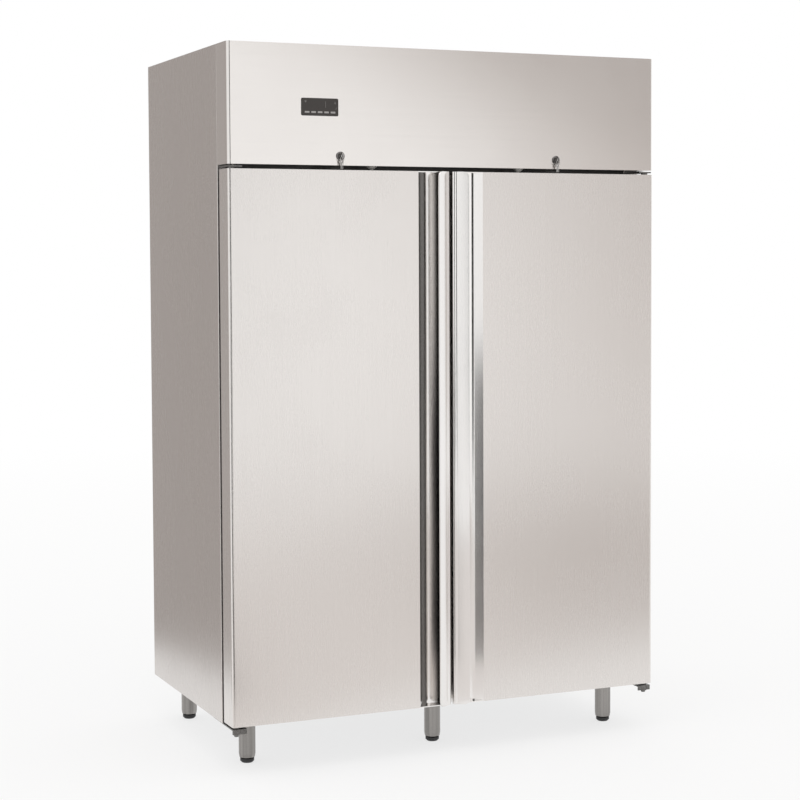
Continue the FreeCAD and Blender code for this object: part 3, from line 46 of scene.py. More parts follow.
print("frame loaded:", len(nodes), "nodes")


def newGroup(name, inputs, outputs):
    group = bpy.data.node_groups.new(name, "ShaderNodeTree")
    for label, kind, value in inputs:
        socket = group.interface.new_socket(name=label, in_out="INPUT", socket_type=kind)
        socket.default_value = value
    for label in outputs:
        group.interface.new_socket(name=label, in_out="OUTPUT", socket_type="NodeSocketFloat")
    return group, group.nodes.new("NodeGroupInput"), group.nodes.new("NodeGroupOutput")


def addNode(tree, kind, links=None, **values):
    node = tree.nodes.new(kind)
    for label, value in values.items():
        setattr(node, label, value)
    for target, source in (links or {}).items():
        if isinstance(source, bpy.types.NodeSocket):
            tree.links.new(source, node.inputs[target])
        else:
            node.inputs[target].default_value = source
    return node


def objectPlace(tree):
    return tree.nodes.new("ShaderNodeTexCoord").outputs["Object"]


def spread(tree, source, low, high, fromLow=0.0, fromHigh=1.0):
    node = addNode(tree, "ShaderNodeMapRange", {0: source, 1: fromLow, 2: fromHigh, 3: low, 4: high})
    return node.outputs[0]


def sized(tree, first, factor, second=0.0):
    parts = {0: first, 1: factor, 2: second}
    return addNode(tree, "ShaderNodeMath", parts, operation="MULTIPLY_ADD").outputs[0]


def combine(tree, first, second, operation="MULTIPLY"):
    return addNode(tree, "ShaderNodeMath", {0: first, 1: second}, operation=operation).outputs[0]


def mixColour(tree, mask, first, second):
    node = addNode(tree, "ShaderNodeMix", data_type="RGBA")
    tree.links.new(mask, node.inputs[0])
    for index, source in ((6, first), (7, second)):
        if isinstance(source, bpy.types.NodeSocket):
            tree.links.new(source, node.inputs[index])
        else:
            node.inputs[index].default_value = (*source, 1)
    return node.outputs[2]


def addBump(tree, shader, height, strength, distance):
    bump = addNode(tree, "ShaderNodeBump", {"Height": height, "Strength": strength, "Distance": distance})
    tree.links.new(bump.outputs["Normal"], shader.inputs["Normal"])


def placeGroup(tree, group, **values):
    node = tree.nodes.new("ShaderNodeGroup")
    node.node_tree = group
    for label, value in values.items():
        node.inputs[label].default_value = value
    return node.outputs


def newMaterial(name, metallic, specular=0.5):
    material = bpy.data.materials.new(name)
    material.use_nodes = True
    shader = material.node_tree.nodes["Principled BSDF"]
    shader.inputs["Metallic"].default_value = metallic
    shader.inputs["Specular IOR Level"].default_value = specular
    return material, material.node_tree, shader


def makeGrain():
    inputs = [("Scale", "NodeSocketVector", (300, 300, 3))]
    group, start, end = newGroup("brushedGrain", inputs, ["Streak", "Fine"])
    ends = {0: objectPlace(group), 1: start.outputs["Scale"]}
    drawn = addNode(group, "ShaderNodeVectorMath", ends, operation="MULTIPLY").outputs[0]
    wide = {"Vector": drawn, "Scale": 0.16, "Detail": 3.0, "Roughness": 0.6}
    close = {"Vector": drawn, "Scale": 2.0, "Detail": 2.0, "Roughness": 0.7}
    streak = addNode(group, "ShaderNodeTexNoise", wide)
    fine = addNode(group, "ShaderNodeTexNoise", close)
    group.links.new(streak.outputs[0], end.inputs["Streak"])
    group.links.new(fine.outputs[0], end.inputs["Fine"])
    return group


def makeSmudge():
    group, start, end = newGroup("handMarks", [("Size", "NodeSocketFloat", 4.0)], ["Mask"])
    cloud = addNode(group, "ShaderNodeTexNoise", {
        "Vector": objectPlace(group), "Scale": start.outputs["Size"],
        "Detail": 5.0, "Roughness": 0.62, "Distortion": 0.5,
    })
    group.links.new(spread(group, cloud.outputs[0], 0.0, 1.0, 0.35, 0.7), end.inputs["Mask"])
    return group


def makeSpangle():
    group, start, end = newGroup("zincSpangle", [("Size", "NodeSocketFloat", 90.0)], ["Cell", "Rim"])
    pattern = {"Vector": objectPlace(group), "Scale": start.outputs["Size"]}
    cells = addNode(group, "ShaderNodeTexVoronoi", pattern)
    rims = addNode(group, "ShaderNodeTexVoronoi", pattern, feature="DISTANCE_TO_EDGE")
    shade = addNode(group, "ShaderNodeSeparateColor", {0: cells.outputs["Color"]})
    group.links.new(shade.outputs[0], end.inputs["Cell"])
    group.links.new(spread(group, rims.outputs[0], 1.0, 0.0, 0.0, 0.08), end.inputs["Rim"])
    return group


def makeMould():
    group, start, end = newGroup("mouldedSkin", [("Size", "NodeSocketFloat", 900.0)], ["Height", "Cloud"])
    place = objectPlace(group)
    pitted = {"Vector": place, "Scale": start.outputs["Size"], "Detail": 2.0}
    grain = addNode(group, "ShaderNodeTexNoise", pitted)
    cloud = addNode(group, "ShaderNodeTexNoise", {"Vector": place, "Scale": 14.0, "Detail": 4.0})
    group.links.new(grain.outputs[0], end.inputs["Height"])
    group.links.new(cloud.outputs[0], end.inputs["Cloud"])
    return group


def makeDust():
    group, start, end = newGroup("settledDust", [("Amount", "NodeSocketFloat", 0.4)], ["Mask"])
    facing = group.nodes.new("ShaderNodeNewGeometry")
    upward = addNode(group, "ShaderNodeSeparateXYZ", {0: facing.outputs["Normal"]})
    lying = spread(group, upward.outputs["Z"], 0.0, 1.0, 0.4, 1.0)
    drift = {"Vector": objectPlace(group), "Scale": 22.0, "Detail": 6.0, "Roughness": 0.7}
    cloud = addNode(group, "ShaderNodeTexNoise", drift)
    heaps = spread(group, cloud.outputs[0], 0.2, 1.0, 0.3, 0.75)
    amount = combine(group, combine(group, lying, heaps), start.outputs["Amount"])
    group.links.new(amount, end.inputs["Mask"])
    return group


# how far the marks of a finish rise, in metres
bumpRise = {"steel": 0.0002, "zinc": 0.0002, "moulded": 0.0003}
zincRim = 0.08
brushedGrain = makeGrain()
handMarks = makeSmudge()
zincSpangle = makeSpangle()
mouldedSkin = makeMould()
settledDust = makeDust()


def bandMask(tree, axis, low, high):
    part = addNode(tree, "ShaderNodeSeparateXYZ", {0: objectPlace(tree)}).outputs[axis]
    return combine(tree, combine(tree, part, low, "GREATER_THAN"), combine(tree, part, high, "LESS_THAN"))


def steelFinish(name, look):
    material, tree, shader = newMaterial(name, 1.0)
    grain = placeGroup(tree, brushedGrain, Scale=look["grain"])
    marks = placeGroup(tree, handMarks, Size=look["markSize"])
    tone = mixColour(tree, grain["Streak"], look["dark"], look["light"])
    rough = spread(tree, grain["Fine"], look["rough"][0], look["rough"][1], 0.25, 0.75)
    tree.links.new(sized(tree, marks["Mask"], look["markRough"], rough), shader.inputs["Roughness"])
    if "darkHeadBand" in look:
        # a dark, non-metallic band along the head of the door frame, where the gap under the hood is
        high = bandMask(tree, "Z", look["darkHeadBand"]["foot"], look["darkHeadBand"]["head"])
        ahead = bandMask(tree, "Y", look["darkHeadBand"]["front"], look["darkHeadBand"]["back"])
        strip = combine(tree, high, ahead)
        tone = mixColour(tree, strip, tone, look["darkHeadBand"]["tone"])
        tree.links.new(spread(tree, strip, 1.0, 0.0), shader.inputs["Metallic"])
    if "inside" in look:
        # painted shade: the back of the wing and its root are made near-black, more so deep in the groove
        normal = tree.nodes.new("ShaderNodeNewGeometry").outputs["Normal"]
        facing = addNode(tree, "ShaderNodeSeparateXYZ", {0: normal}).outputs
        place = addNode(tree, "ShaderNodeSeparateXYZ", {0: objectPlace(tree)}).outputs
        side = addNode(tree, "ShaderNodeMath", {0: place["X"]}, operation="SIGN").outputs[0]
        under = spread(tree, facing["Y"], 0.0, 1.0, *look["underFacing"])
        root = spread(tree, combine(tree, facing["X"], side), 0.0, look["rootDull"], *look["rootFacing"])
        deep = spread(tree, place["Y"], 0.0, 1.0, *look["dullFrom"])
        dull = combine(tree, combine(tree, under, root, "MAXIMUM"), deep)
        tone = mixColour(tree, dull, tone, look["inside"])
    tree.links.new(tone, shader.inputs["Base Color"])
    addBump(tree, shader, grain["Fine"], look["bump"], bumpRise["steel"])
    return material


doorLook = {
    "grain": (900, 900, 6),
    "dark": (0.785, 0.755, 0.73),
    "light": (0.81, 0.78, 0.755),
    "rough": (0.24, 0.27),
    "markSize": 3.0,
    "markRough": 0.03,
    "bump": 0.008,
}
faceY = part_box("left_door_skin")[0].y
hoodLook = dict(doorLook, grain=(6, 900, 900), rough=(0.15, 0.18))
# the side panels are a darker copy of the door steel: painted shade on the sides
sideLook = dict(doorLook, dark=(0.70, 0.665, 0.64), light=(0.74, 0.705, 0.68))
# the handle steel is lighter than the door steel, a painted highlight that brightens the pressed wings
handleLook = dict(doorLook, dark=(0.85, 0.83, 0.81), light=(0.89, 0.87, 0.855), rough=(0.12, 0.16))
# painted shade for the handles: near-black under the wing, at its root and deep in the finger groove
handleLook.update(bump=0.004, inside=(0.025, 0.023, 0.021), dullFrom=(faceY - 0.0155, faceY - 0.0085))
handleLook.update(underFacing=(0.05, 0.3), rootFacing=(0.4, 0.8), rootDull=0.8)
# the legs are darker than the door steel with strong streaks: partly real grain, partly a painted reflection
# of the shaded floor under the cabinet
legLook = dict(doorLook, grain=(420, 420, 5), rough=(0.16, 0.22), bump=0.01)
legLook.update(dark=(0.1, 0.094, 0.088), light=(0.5, 0.48, 0.46))
innerLook = dict(doorLook, grain=(500, 5, 500), rough=(0.3, 0.4), bump=0.02)
innerLook.update(dark=(0.68, 0.67, 0.66), light=(0.76, 0.75, 0.74))
# a dark band on the liner at the head of the door frame, in the gap under the hood
darkHeadBand = {"foot": 1.744, "head": 1.78, "front": -0.31, "back": -0.285, "tone": (0.012, 0.01, 0.009)}
doorSteel = steelFinish("doorSteel", doorLook)
hoodSteel = steelFinish("hoodSteel", hoodLook)
sideSteel = steelFinish("sideSteel", sideLook)
handleSteel = steelFinish("handleSteel", handleLook)
legSteel = steelFinish("legSteel", legLook)
innerSteel = steelFinish("innerSteel", innerLook)
frameSteel = steelFinish("frameSteel", dict(innerLook, grain=(500, 500, 5)))
linerSteel = steelFinish("linerSteel", dict(innerLook, darkHeadBand=darkHeadBand))


def zincFinish(name, look):
    material, tree, shader = newMaterial(name, 0.9)
    cells = placeGroup(tree, zincSpangle, Size=look["cells"])
    dust = placeGroup(tree, settledDust, Amount=look["dust"])
    tone = mixColour(tree, cells["Cell"], look["dark"], look["light"])
    tree.links.new(mixColour(tree, dust["Mask"], tone, look["dustTone"]), shader.inputs["Base Color"])
    rough = spread(tree, cells["Cell"], look["rough"][0], look["rough"][1])
    tree.links.new(rough, shader.inputs["Roughness"])
    addBump(tree, shader, cells["Rim"], zincRim, bumpRise["zinc"])
    return material


zincLook = {
    "cells": 70.0,
    "dark": (0.46, 0.47, 0.48),
    "light": (0.6, 0.61, 0.62),
    "rough": (0.34, 0.52),
    "dust": 0.35,
    "dustTone": (0.42, 0.4, 0.37),
}
platedLook = dict(zincLook, cells=260.0, dust=0.1, rough=(0.25, 0.35), light=(0.66, 0.66, 0.66))
bracketLook = dict(platedLook, dark=(0.13, 0.125, 0.12), light=(0.2, 0.195, 0.19), dust=0.0)
zincSteel = zincFinish("zincSteel", zincLook)
platedSteel = zincFinish("platedSteel", platedLook)
bracketSteel = zincFinish("bracketSteel", bracketLook)


def chromeFinish(name, look):
    material, tree, shader = newMaterial(name, 1.0)
    marks = placeGroup(tree, handMarks, Size=look["markSize"])
    tree.links.new(mixColour(tree, marks["Mask"], look["clean"], look["dull"]), shader.inputs["Base Color"])
    rough = spread(tree, marks["Mask"], look["rough"][0], look["rough"][1])
    tree.links.new(rough, shader.inputs["Roughness"])
    return material


chromeLook = {"markSize": 60.0, "clean": (0.8, 0.8, 0.8), "dull": (0.68, 0.68, 0.67), "rough": (0.08, 0.16)}
lockLook = dict(chromeLook, clean=(0.2, 0.19, 0.185), dull=(0.12, 0.115, 0.11), rough=(0.12, 0.22))
keyLook = dict(chromeLook, clean=(0.5, 0.49, 0.48), dull=(0.36, 0.35, 0.34), rough=(0.14, 0.26))
copperLook = {"markSize": 30.0, "clean": (0.78, 0.45, 0.3), "dull": (0.5, 0.27, 0.17), "rough": (0.22, 0.42)}
finLook = {"markSize": 45.0, "clean": (0.78, 0.79, 0.8), "dull": (0.62, 0.63, 0.64), "rough": (0.28, 0.42)}
chrome = chromeFinish("chrome", chromeLook)
darkChrome = chromeFinish("darkChrome", lockLook)
keySteel = chromeFinish("keySteel", keyLook)
copper = chromeFinish("copper", copperLook)
finMetal = chromeFinish("finMetal", finLook)


def mouldedFinish(name, look):
    material, tree, shader = newMaterial(name, 0.0)
    skin = placeGroup(tree, mouldedSkin, Size=look["grain"])
    dust = placeGroup(tree, settledDust, Amount=look["dust"])
    tone = mixColour(tree, skin["Cloud"], look["dark"], look["light"])
    tree.links.new(mixColour(tree, dust["Mask"], tone, look["dustTone"]), shader.inputs["Base Color"])
    rough = spread(tree, skin["Cloud"], look["rough"][0], look["rough"][1], 0.3, 0.7)
    tree.links.new(rough, shader.inputs["Roughness"])
    addBump(tree, shader, skin["Height"], look["bump"], bumpRise["moulded"])
    return material


blackLook = {
    "grain": 1400.0,
    "dark": (0.012, 0.012, 0.013),
    "light": (0.03, 0.03, 0.031),
    "rough": (0.42, 0.55),
    "dust": 0.12,
    "dustTone": (0.2, 0.19, 0.18),
    "bump": 0.15,
}
paintLook = dict(blackLook, grain=500.0, rough=(0.28, 0.4), dust=0.4, bump=0.08)
paleLook = dict(blackLook, dark=(0.74, 0.72, 0.68), light=(0.82, 0.8, 0.76), dust=0.0)
# the door end caps are near-black, painted shade that keeps the gaps at the door heads dark
capLook = dict(blackLook, dark=(0.035, 0.033, 0.03), light=(0.055, 0.051, 0.047), rough=(0.4, 0.5), dust=0.05)
buttonLook = dict(blackLook, dark=(0.3, 0.28, 0.27), light=(0.37, 0.35, 0.34), dust=0.0)
sealLook = dict(blackLook, dark=(0.045, 0.045, 0.046), light=(0.075, 0.075, 0.076), rough=(0.5, 0.62))
windowLook = dict(blackLook, dark=(0.026, 0.021, 0.018), light=(0.034, 0.027, 0.023), rough=(0.2, 0.26),
                  dust=0.0, bump=0.01)
markLook = dict(blackLook, dark=(0.16, 0.15, 0.14), light=(0.24, 0.23, 0.22), dust=0.0)
foamLook = dict(blackLook, grain=260.0, rough=(0.7, 0.85), bump=0.5)
foamLook.update(dark=(0.66, 0.52, 0.26), light=(0.78, 0.66, 0.38))
blackPlastic = mouldedFinish("blackPlastic", blackLook)
blackPaint = mouldedFinish("blackPaint", paintLook)
palePlastic = mouldedFinish("palePlastic", paleLook)
capPlastic = mouldedFinish("capPlastic", capLook)
buttonGrey = mouldedFinish("buttonGrey", buttonLook)
sealRubber = mouldedFinish("sealRubber", sealLook)
windowBlack = mouldedFinish("windowBlack", windowLook)
markGrey = mouldedFinish("markGrey", markLook)
foamCore = mouldedFinish("foamCore", foamLook)
print("finishes ready:", len(bpy.data.materials))

finishNodes = {
    doorSteel: ["left_door_skin", "right_door_skin"],
    hoodSteel: ["hood_panel"],
    sideSteel: ["left_side_panel", "right_side_panel"],
    handleSteel: ["left_door_handle", "right_door_handle"],
    legSteel: ["leg_tubes"],
    linerSteel: ["inner_liner"],
    innerSteel: ["centre_mullion", "left_door_liner", "right_door_liner"],
    frameSteel: ["shelf_uprights", "shelf_rails", "evaporator_cover"],
    zincSteel: ["rear_panel", "base_panel", "roof_deck", "unit_base", "fan_shroud"],
    platedSteel: ["hinge_bolts", "left_lock_cam", "right_lock_cam"],
    bracketSteel: ["hinge_brackets"],
    chrome: ["left_shelves", "right_shelves"],
    darkChrome: ["lock_barrels", "left_lock_plug", "right_lock_plug"],
    keySteel: ["left_key", "right_key", "left_spare_keys", "right_spare_keys"],
    foamCore: ["insulation_foam", "left_door_foam", "right_door_foam"],
    capPlastic: ["left_door_end_caps", "right_door_end_caps"],
    sealRubber: ["left_door_gasket", "right_door_gasket"],
    blackPlastic: ["controller_housing", "foot_inserts", "condenser_fan", "evaporator_fan"],
    palePlastic: ["door_switch_bodies", "left_switch_plunger", "right_switch_plunger", "electrical_box"],
    buttonGrey: [f"controller_button_{number}" for number in range(1, 6)],
    windowBlack: ["display_window"],
    blackPaint: ["compressor", "condenser_fan_motor", "evaporator_fan_motor"],
    finMetal: ["condenser_coil", "evaporator_coil"],
    copper: ["refrigerant_pipes"],
}
for finish, members in finishNodes.items():
    for member in members:
        nodes[member].data.materials.clear()
        nodes[member].data.materials.append(finish)
print("finishes on", sum(len(members) for members in finishNodes.values()), "nodes")


def newTree(name, inputs):
    tree = bpy.data.node_groups.new(name, "GeometryNodeTree")
    tree.interface.new_socket(name="Geometry", in_out="INPUT", socket_type="NodeSocketGeometry")
    for label, kind in inputs.items():
        tree.interface.new_socket(name=label, in_out="INPUT", socket_type="NodeSocket" + kind)
    tree.interface.new_socket(name="Geometry", in_out="OUTPUT", socket_type="NodeSocketGeometry")
    return tree, tree.nodes.new("NodeGroupInput").outputs, tree.nodes.new("NodeGroupOutput").inputs[0]


def joinShapes(tree, shapes):
    joined = tree.nodes.new("GeometryNodeJoinGeometry")
    for shape in shapes:
        tree.links.new(shape, joined.inputs[0])
    return joined.outputs[0]


def closeTree(tree, shapes, start, end):
    real = addNode(tree, "GeometryNodeRealizeInstances", {"Geometry": joinShapes(tree, shapes)})
    surface = {"Geometry": real.outputs[0], "Material": start["Material"]}
    tree.links.new(addNode(tree, "GeometryNodeSetMaterial", surface).outputs[0], end)
    return tree


def sweep(tree, path, radius, sides):
    ring = addNode(tree, "GeometryNodeCurvePrimitiveCircle", {"Resolution": sides, "Radius": radius})
    swept = {"Curve": path, "Profile Curve": ring.outputs[0], "Fill Caps": True}
    tube = addNode(tree, "GeometryNodeCurveToMesh", swept)
    return addNode(tree, "GeometryNodeSetShadeSmooth", {"Geometry": tube.outputs[0]}).outputs[0]


def placeOf(tree, **parts):
    return addNode(tree, "ShaderNodeCombineXYZ", parts).outputs[0]


# a tube swept along a bent path
def makeTubeTree():
    inputs = {"Radius": "Float", "Bend": "Float", "Sides": "Int", "Material": "Material"}
    tree, start, end = newTree("bentTube", inputs)
    path = addNode(tree, "GeometryNodeMeshToCurve", {"Mesh": start["Geometry"]}).outputs[0]
    corner = {"Curve": path, "Count": 6, "Radius": start["Bend"]}
    bent = addNode(tree, "GeometryNodeFilletCurve", corner, mode="POLY").outputs[0]
    return closeTree(tree, [sweep(tree, bent, start["Radius"], start["Sides"])], start, end)


# thin plates threaded along a line, with a thicker plate at either end
def makeFinTree():
    inputs = {"Count": "Int", "Fin": "Vector", "End Plate": "Vector", "Material": "Material"}
    tree, start, end = newTree("finPack", inputs)
    path = addNode(tree, "GeometryNodeMeshToCurve", {"Mesh": start["Geometry"]}).outputs[0]
    spaced = addNode(tree, "GeometryNodeResampleCurve", {"Curve": path, "Count": start["Count"]}).outputs[0]
    fin = addNode(tree, "GeometryNodeMeshCube", {"Size": start["Fin"]}).outputs[0]
    plate = addNode(tree, "GeometryNodeMeshCube", {"Size": start["End Plate"]}).outputs[0]
    row = addNode(tree, "GeometryNodeInstanceOnPoints", {"Points": spaced, "Instance": fin})
    ends = addNode(tree, "GeometryNodeInstanceOnPoints", {"Points": start["Geometry"], "Instance": plate})
    return closeTree(tree, [row.outputs[0], ends.outputs[0]], start, end)


# shares of the shelf's half width and of the wire's and rod's radius
shelfShares = {"span": 0.94, "rodsApart": 0.36, "wireLift": 0.9}


# a bent rod frame, cross rods under it and wires laid over it, once at every point
def makeShelfTree():
    inputs = {"Width": "Float", "Depth": "Float", "Rod": "Float", "Wire": "Float", "Corner": "Float",
              "Wires": "Int", "Rods": "Int", "Material": "Material"}
    tree, start, end = newTree("wireShelf", inputs)
    loop = addNode(tree, "GeometryNodeCurvePrimitiveQuadrilateral", {
        "Width": sized(tree, start["Rod"], -2.0, start["Width"]),
        "Height": sized(tree, start["Rod"], -2.0, start["Depth"]),
    }).outputs[0]
    corner = {"Curve": loop, "Count": 5, "Radius": start["Corner"]}
    bent = addNode(tree, "GeometryNodeFilletCurve", corner, mode="POLY").outputs[0]
    shapes = [sweep(tree, bent, start["Rod"], 12)]
    for along, across, count, radius, turn in (
        ("Depth", "Width", "Wires", "Wire", (math.pi / 2, 0, 0)),
        ("Width", "Depth", "Rods", "Rod", (0, math.pi / 2, 0)),
    ):
        inner = sized(tree, start["Rod"], -2.0, start[along])
        bar = {"Vertices": 8, "Radius": start[radius], "Depth": inner}
        straight = addNode(tree, "GeometryNodeMeshCylinder", bar).outputs[0]
        smooth = addNode(tree, "GeometryNodeSetShadeSmooth", {"Geometry": straight}).outputs[0]
        laid = addNode(tree, "GeometryNodeTransform", {"Geometry": smooth, "Rotation": turn}).outputs[0]
        half = sized(tree, start[across], 0.5)
        edge = sized(tree, half, shelfShares["span"])
        if count == "Wires":
            lift = sized(tree, start["Wire"], shelfShares["wireLift"], start["Rod"])
            first = placeOf(tree, X=sized(tree, edge, -1.0), Z=lift)
            last = placeOf(tree, X=edge, Z=lift)
        else:
            first = placeOf(tree, Y=sized(tree, edge, -shelfShares["rodsApart"]))
            last = placeOf(tree, Y=sized(tree, edge, shelfShares["rodsApart"]))
        line = {"Count": start[count], "Start Location": first, "Offset": last}
        row = addNode(tree, "GeometryNodeMeshLine", line, mode="END_POINTS").outputs[0]
        bars = addNode(tree, "GeometryNodeInstanceOnPoints", {"Points": row, "Instance": laid})
        shapes.append(bars.outputs[0])
    placed = {"Points": start["Geometry"], "Instance": joinShapes(tree, shapes)}
    stack = addNode(tree, "GeometryNodeInstanceOnPoints", placed)
    return closeTree(tree, [stack.outputs[0]], start, end)


# corners, width and height of the washer and of the head, as shares of the screw's size
washer = (18, 1.0, 0.3)
hexagon = (6, 0.62, 1.0)


# a hexagon head on a washer, once at every point
def makeScrewTree():
    inputs = {"Radius": "Float", "Height": "Float", "Turn": "Vector", "Material": "Material"}
    tree, start, end = newTree("screwHeads", inputs)
    shapes = []
    for corners, width, height in (washer, hexagon):
        depth = sized(tree, start["Height"], height)
        disc = {"Vertices": corners, "Radius": sized(tree, start["Radius"], width), "Depth": depth}
        drum = addNode(tree, "GeometryNodeMeshCylinder", disc).outputs[0]
        raised = {"Geometry": drum, "Translation": placeOf(tree, Z=sized(tree, depth, 0.5))}
        shapes.append(addNode(tree, "GeometryNodeTransform", raised).outputs[0])
    turn = addNode(tree, "FunctionNodeEulerToRotation", {0: start["Turn"]}).outputs[0]
    placed = {"Points": start["Geometry"], "Instance": joinShapes(tree, shapes), "Rotation": turn}
    return closeTree(tree, [addNode(tree, "GeometryNodeInstanceOnPoints", placed).outputs[0]], start, end)


bentTube = makeTubeTree()
finPack = makeFinTree()
wireShelf = makeShelfTree()
screwHeads = makeScrewTree()


sharpEdge = math.radians(38)
handleEdge = math.radians(28)


def pathMesh(name, paths):
    mesh = bpy.data.meshes.new(name)
    points = []
    edges = []
    for path in paths:
        first = len(points)
        points += path
        edges += [(first + step, first + step + 1) for step in range(len(path) - 1)]
    mesh.from_pydata(points, edges, [])
    return mesh


def grow(name, base, tree, values):
    holder = bpy.data.objects.new(name + "Holder", base)
    scene.collection.objects.link(holder)
    modifier = holder.modifiers.new("grow", "NODES")
    modifier.node_group = tree
    for item in tree.interface.items_tree:
        if item.in_out == "INPUT" and item.name in values:
            modifier[item.identifier] = values[item.name]
    ready = holder.evaluated_get(bpy.context.evaluated_depsgraph_get())
    mesh = bpy.data.meshes.new_from_object(ready)
    mesh.name = name
    mesh.set_sharp_from_angle(angle=sharpEdge)
    holder.modifiers.remove(modifier)
    bpy.data.objects.remove(holder)
    return mesh


def newPiece(name, mesh, body, slot, *covered):
    piece = bpy.data.objects.new(name, mesh)
    scene.collection.objects.link(piece)
    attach(piece, body)
    if covered:
        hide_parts(*covered)
    print("piece", name, len(mesh.polygons), "faces")


# to and fro along one axis while it steps down
def serpentine(ends, axis, middle, heights):
    path = []
    for turn, height in enumerate(heights):
        for end in (ends if turn % 2 == 0 else ends[::-1]):
            place = [middle[0], middle[1], height]
            place[axis] = end
            path.append(place)
    return path


condenser = {"node": "condenser_coil", "axis": 1, "fins": 120, "runs": 10}
evaporator = {"node": "evaporator_coil", "axis": 0, "fins": 110, "runs": 4}
coilMake = {
    "overhang": 0.010,
    "fin": 0.0003,
    "plate": 0.0015,
    "tube": 0.0045,
    "edge": 0.027,
    "bendShare": 0.499,
}


def makeCoil(word, look, make):
    low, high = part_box(look["node"])
    axis = look["axis"]
    middle = (low + high) / 2
    size = high - low
    line = [middle.copy(), middle.copy()]
    line[0][axis] = low[axis] + make["overhang"]
    line[1][axis] = high[axis] - make["overhang"]
    fin = size.copy()
    fin[axis] = make["fin"]
    plate = size.copy()
    plate[axis] = make["plate"]
    line[0][axis] += make["plate"] / 2
    line[1][axis] -= make["plate"] / 2
    values = {"Count": look["fins"], "Fin": fin, "End Plate": plate, "Material": finMetal}
    fins = grow(word + "Fins", pathMesh(word + "Line", [line]), finPack, values)
    newPiece(word + "Fins", fins, "cabinet", "fin_aluminium", look["node"])
    drop = (size.z - 2 * make["edge"]) / (look["runs"] - 1)
    heights = [high.z - make["edge"] - drop * turn for turn in range(look["runs"])]
    ends = (low[axis] + make["tube"], high[axis] - make["tube"])
    path = serpentine(ends, axis, middle, heights)
    path[0][axis] = low[axis]
    path[-1][axis] = low[axis]
    values = {"Radius": make["tube"], "Bend": drop * make["bendShare"], "Sides": 12, "Material": copper}
    tubes = grow(word + "Tubes", pathMesh(word + "Path", [path]), bentTube, values)
    newPiece(word + "Tubes", tubes, "cabinet", "copper")


makeCoil("condenser", condenser, coilMake)
makeCoil("evaporator", evaporator, coilMake)

shelf = {"rod": 0.0033, "wire": 0.0017, "corner": 0.022, "wires": 25, "rods": 2, "thick": 0.0099, "levels": 3}


def makeShelves(look):
    points = []
    for node in ("left_shelves", "right_shelves"):
        low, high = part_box(node)
        rise = (high.z - look["thick"] - low.z) / (look["levels"] - 1)
        for level in range(look["levels"]):
            height = low.z + look["rod"] + rise * level
            points.append(((low.x + high.x) / 2, (low.y + high.y) / 2, height))
    values = {
        "Width": high.x - low.x, "Depth": high.y - low.y, "Rod": look["rod"], "Wire": look["wire"],
        "Corner": look["corner"], "Wires": look["wires"], "Rods": look["rods"], "Material": chrome,
    }
    base = pathMesh("shelfPoints", [[point] for point in points])
    mesh = grow("wireShelves", base, wireShelf, values)
    newPiece("wireShelves", mesh, "cabinet", "chrome", "left_shelves", "right_shelves")


makeShelves(shelf)

pipes = {
    "radius": 0.0046,
    "thin": 0.0023,
    "bend": 0.022,
    "side": 0.066,
    "stubHigh": 1.926,
    "drierStart": 0.07,
    "drierInset": 0.014,
    "drierLong": 0.09,
    "drierRadius": 0.0138,
}


def spinMesh(name, profile, steps, start, finish):
    # rings about the X axis, each given by its place along the axis and its radius
    mesh = bpy.data.meshes.new(name)
    points = []
    for along, radius in profile:
        for step in range(steps):
            angle = 2 * math.pi * step / steps
            side = radius * math.cos(angle)
            rise = radius * math.sin(angle)
            points.append((start[0] + along, start[1] + side, start[2] + rise))
    faces = []
    for ring in range(len(profile) - 1):
        for step in range(steps):
            after = (step + 1) % steps
            here, there = ring * steps, (ring + 1) * steps
            faces.append((here + step, here + after, there + after, there + step))
    faces.append(tuple(reversed(range(steps))))
    faces.append(tuple(range((len(profile) - 1) * steps, len(profile) * steps)))
    mesh.from_pydata(points, [], faces)
    shape = bmesh.new()
    shape.from_mesh(mesh)
    bmesh.ops.recalc_face_normals(shape, faces=shape.faces)
    shape.to_mesh(mesh)
    shape.free()
    mesh.shade_smooth()
    mesh.set_sharp_from_angle(angle=sharpEdge)
    mesh.materials.append(finish)
    return mesh


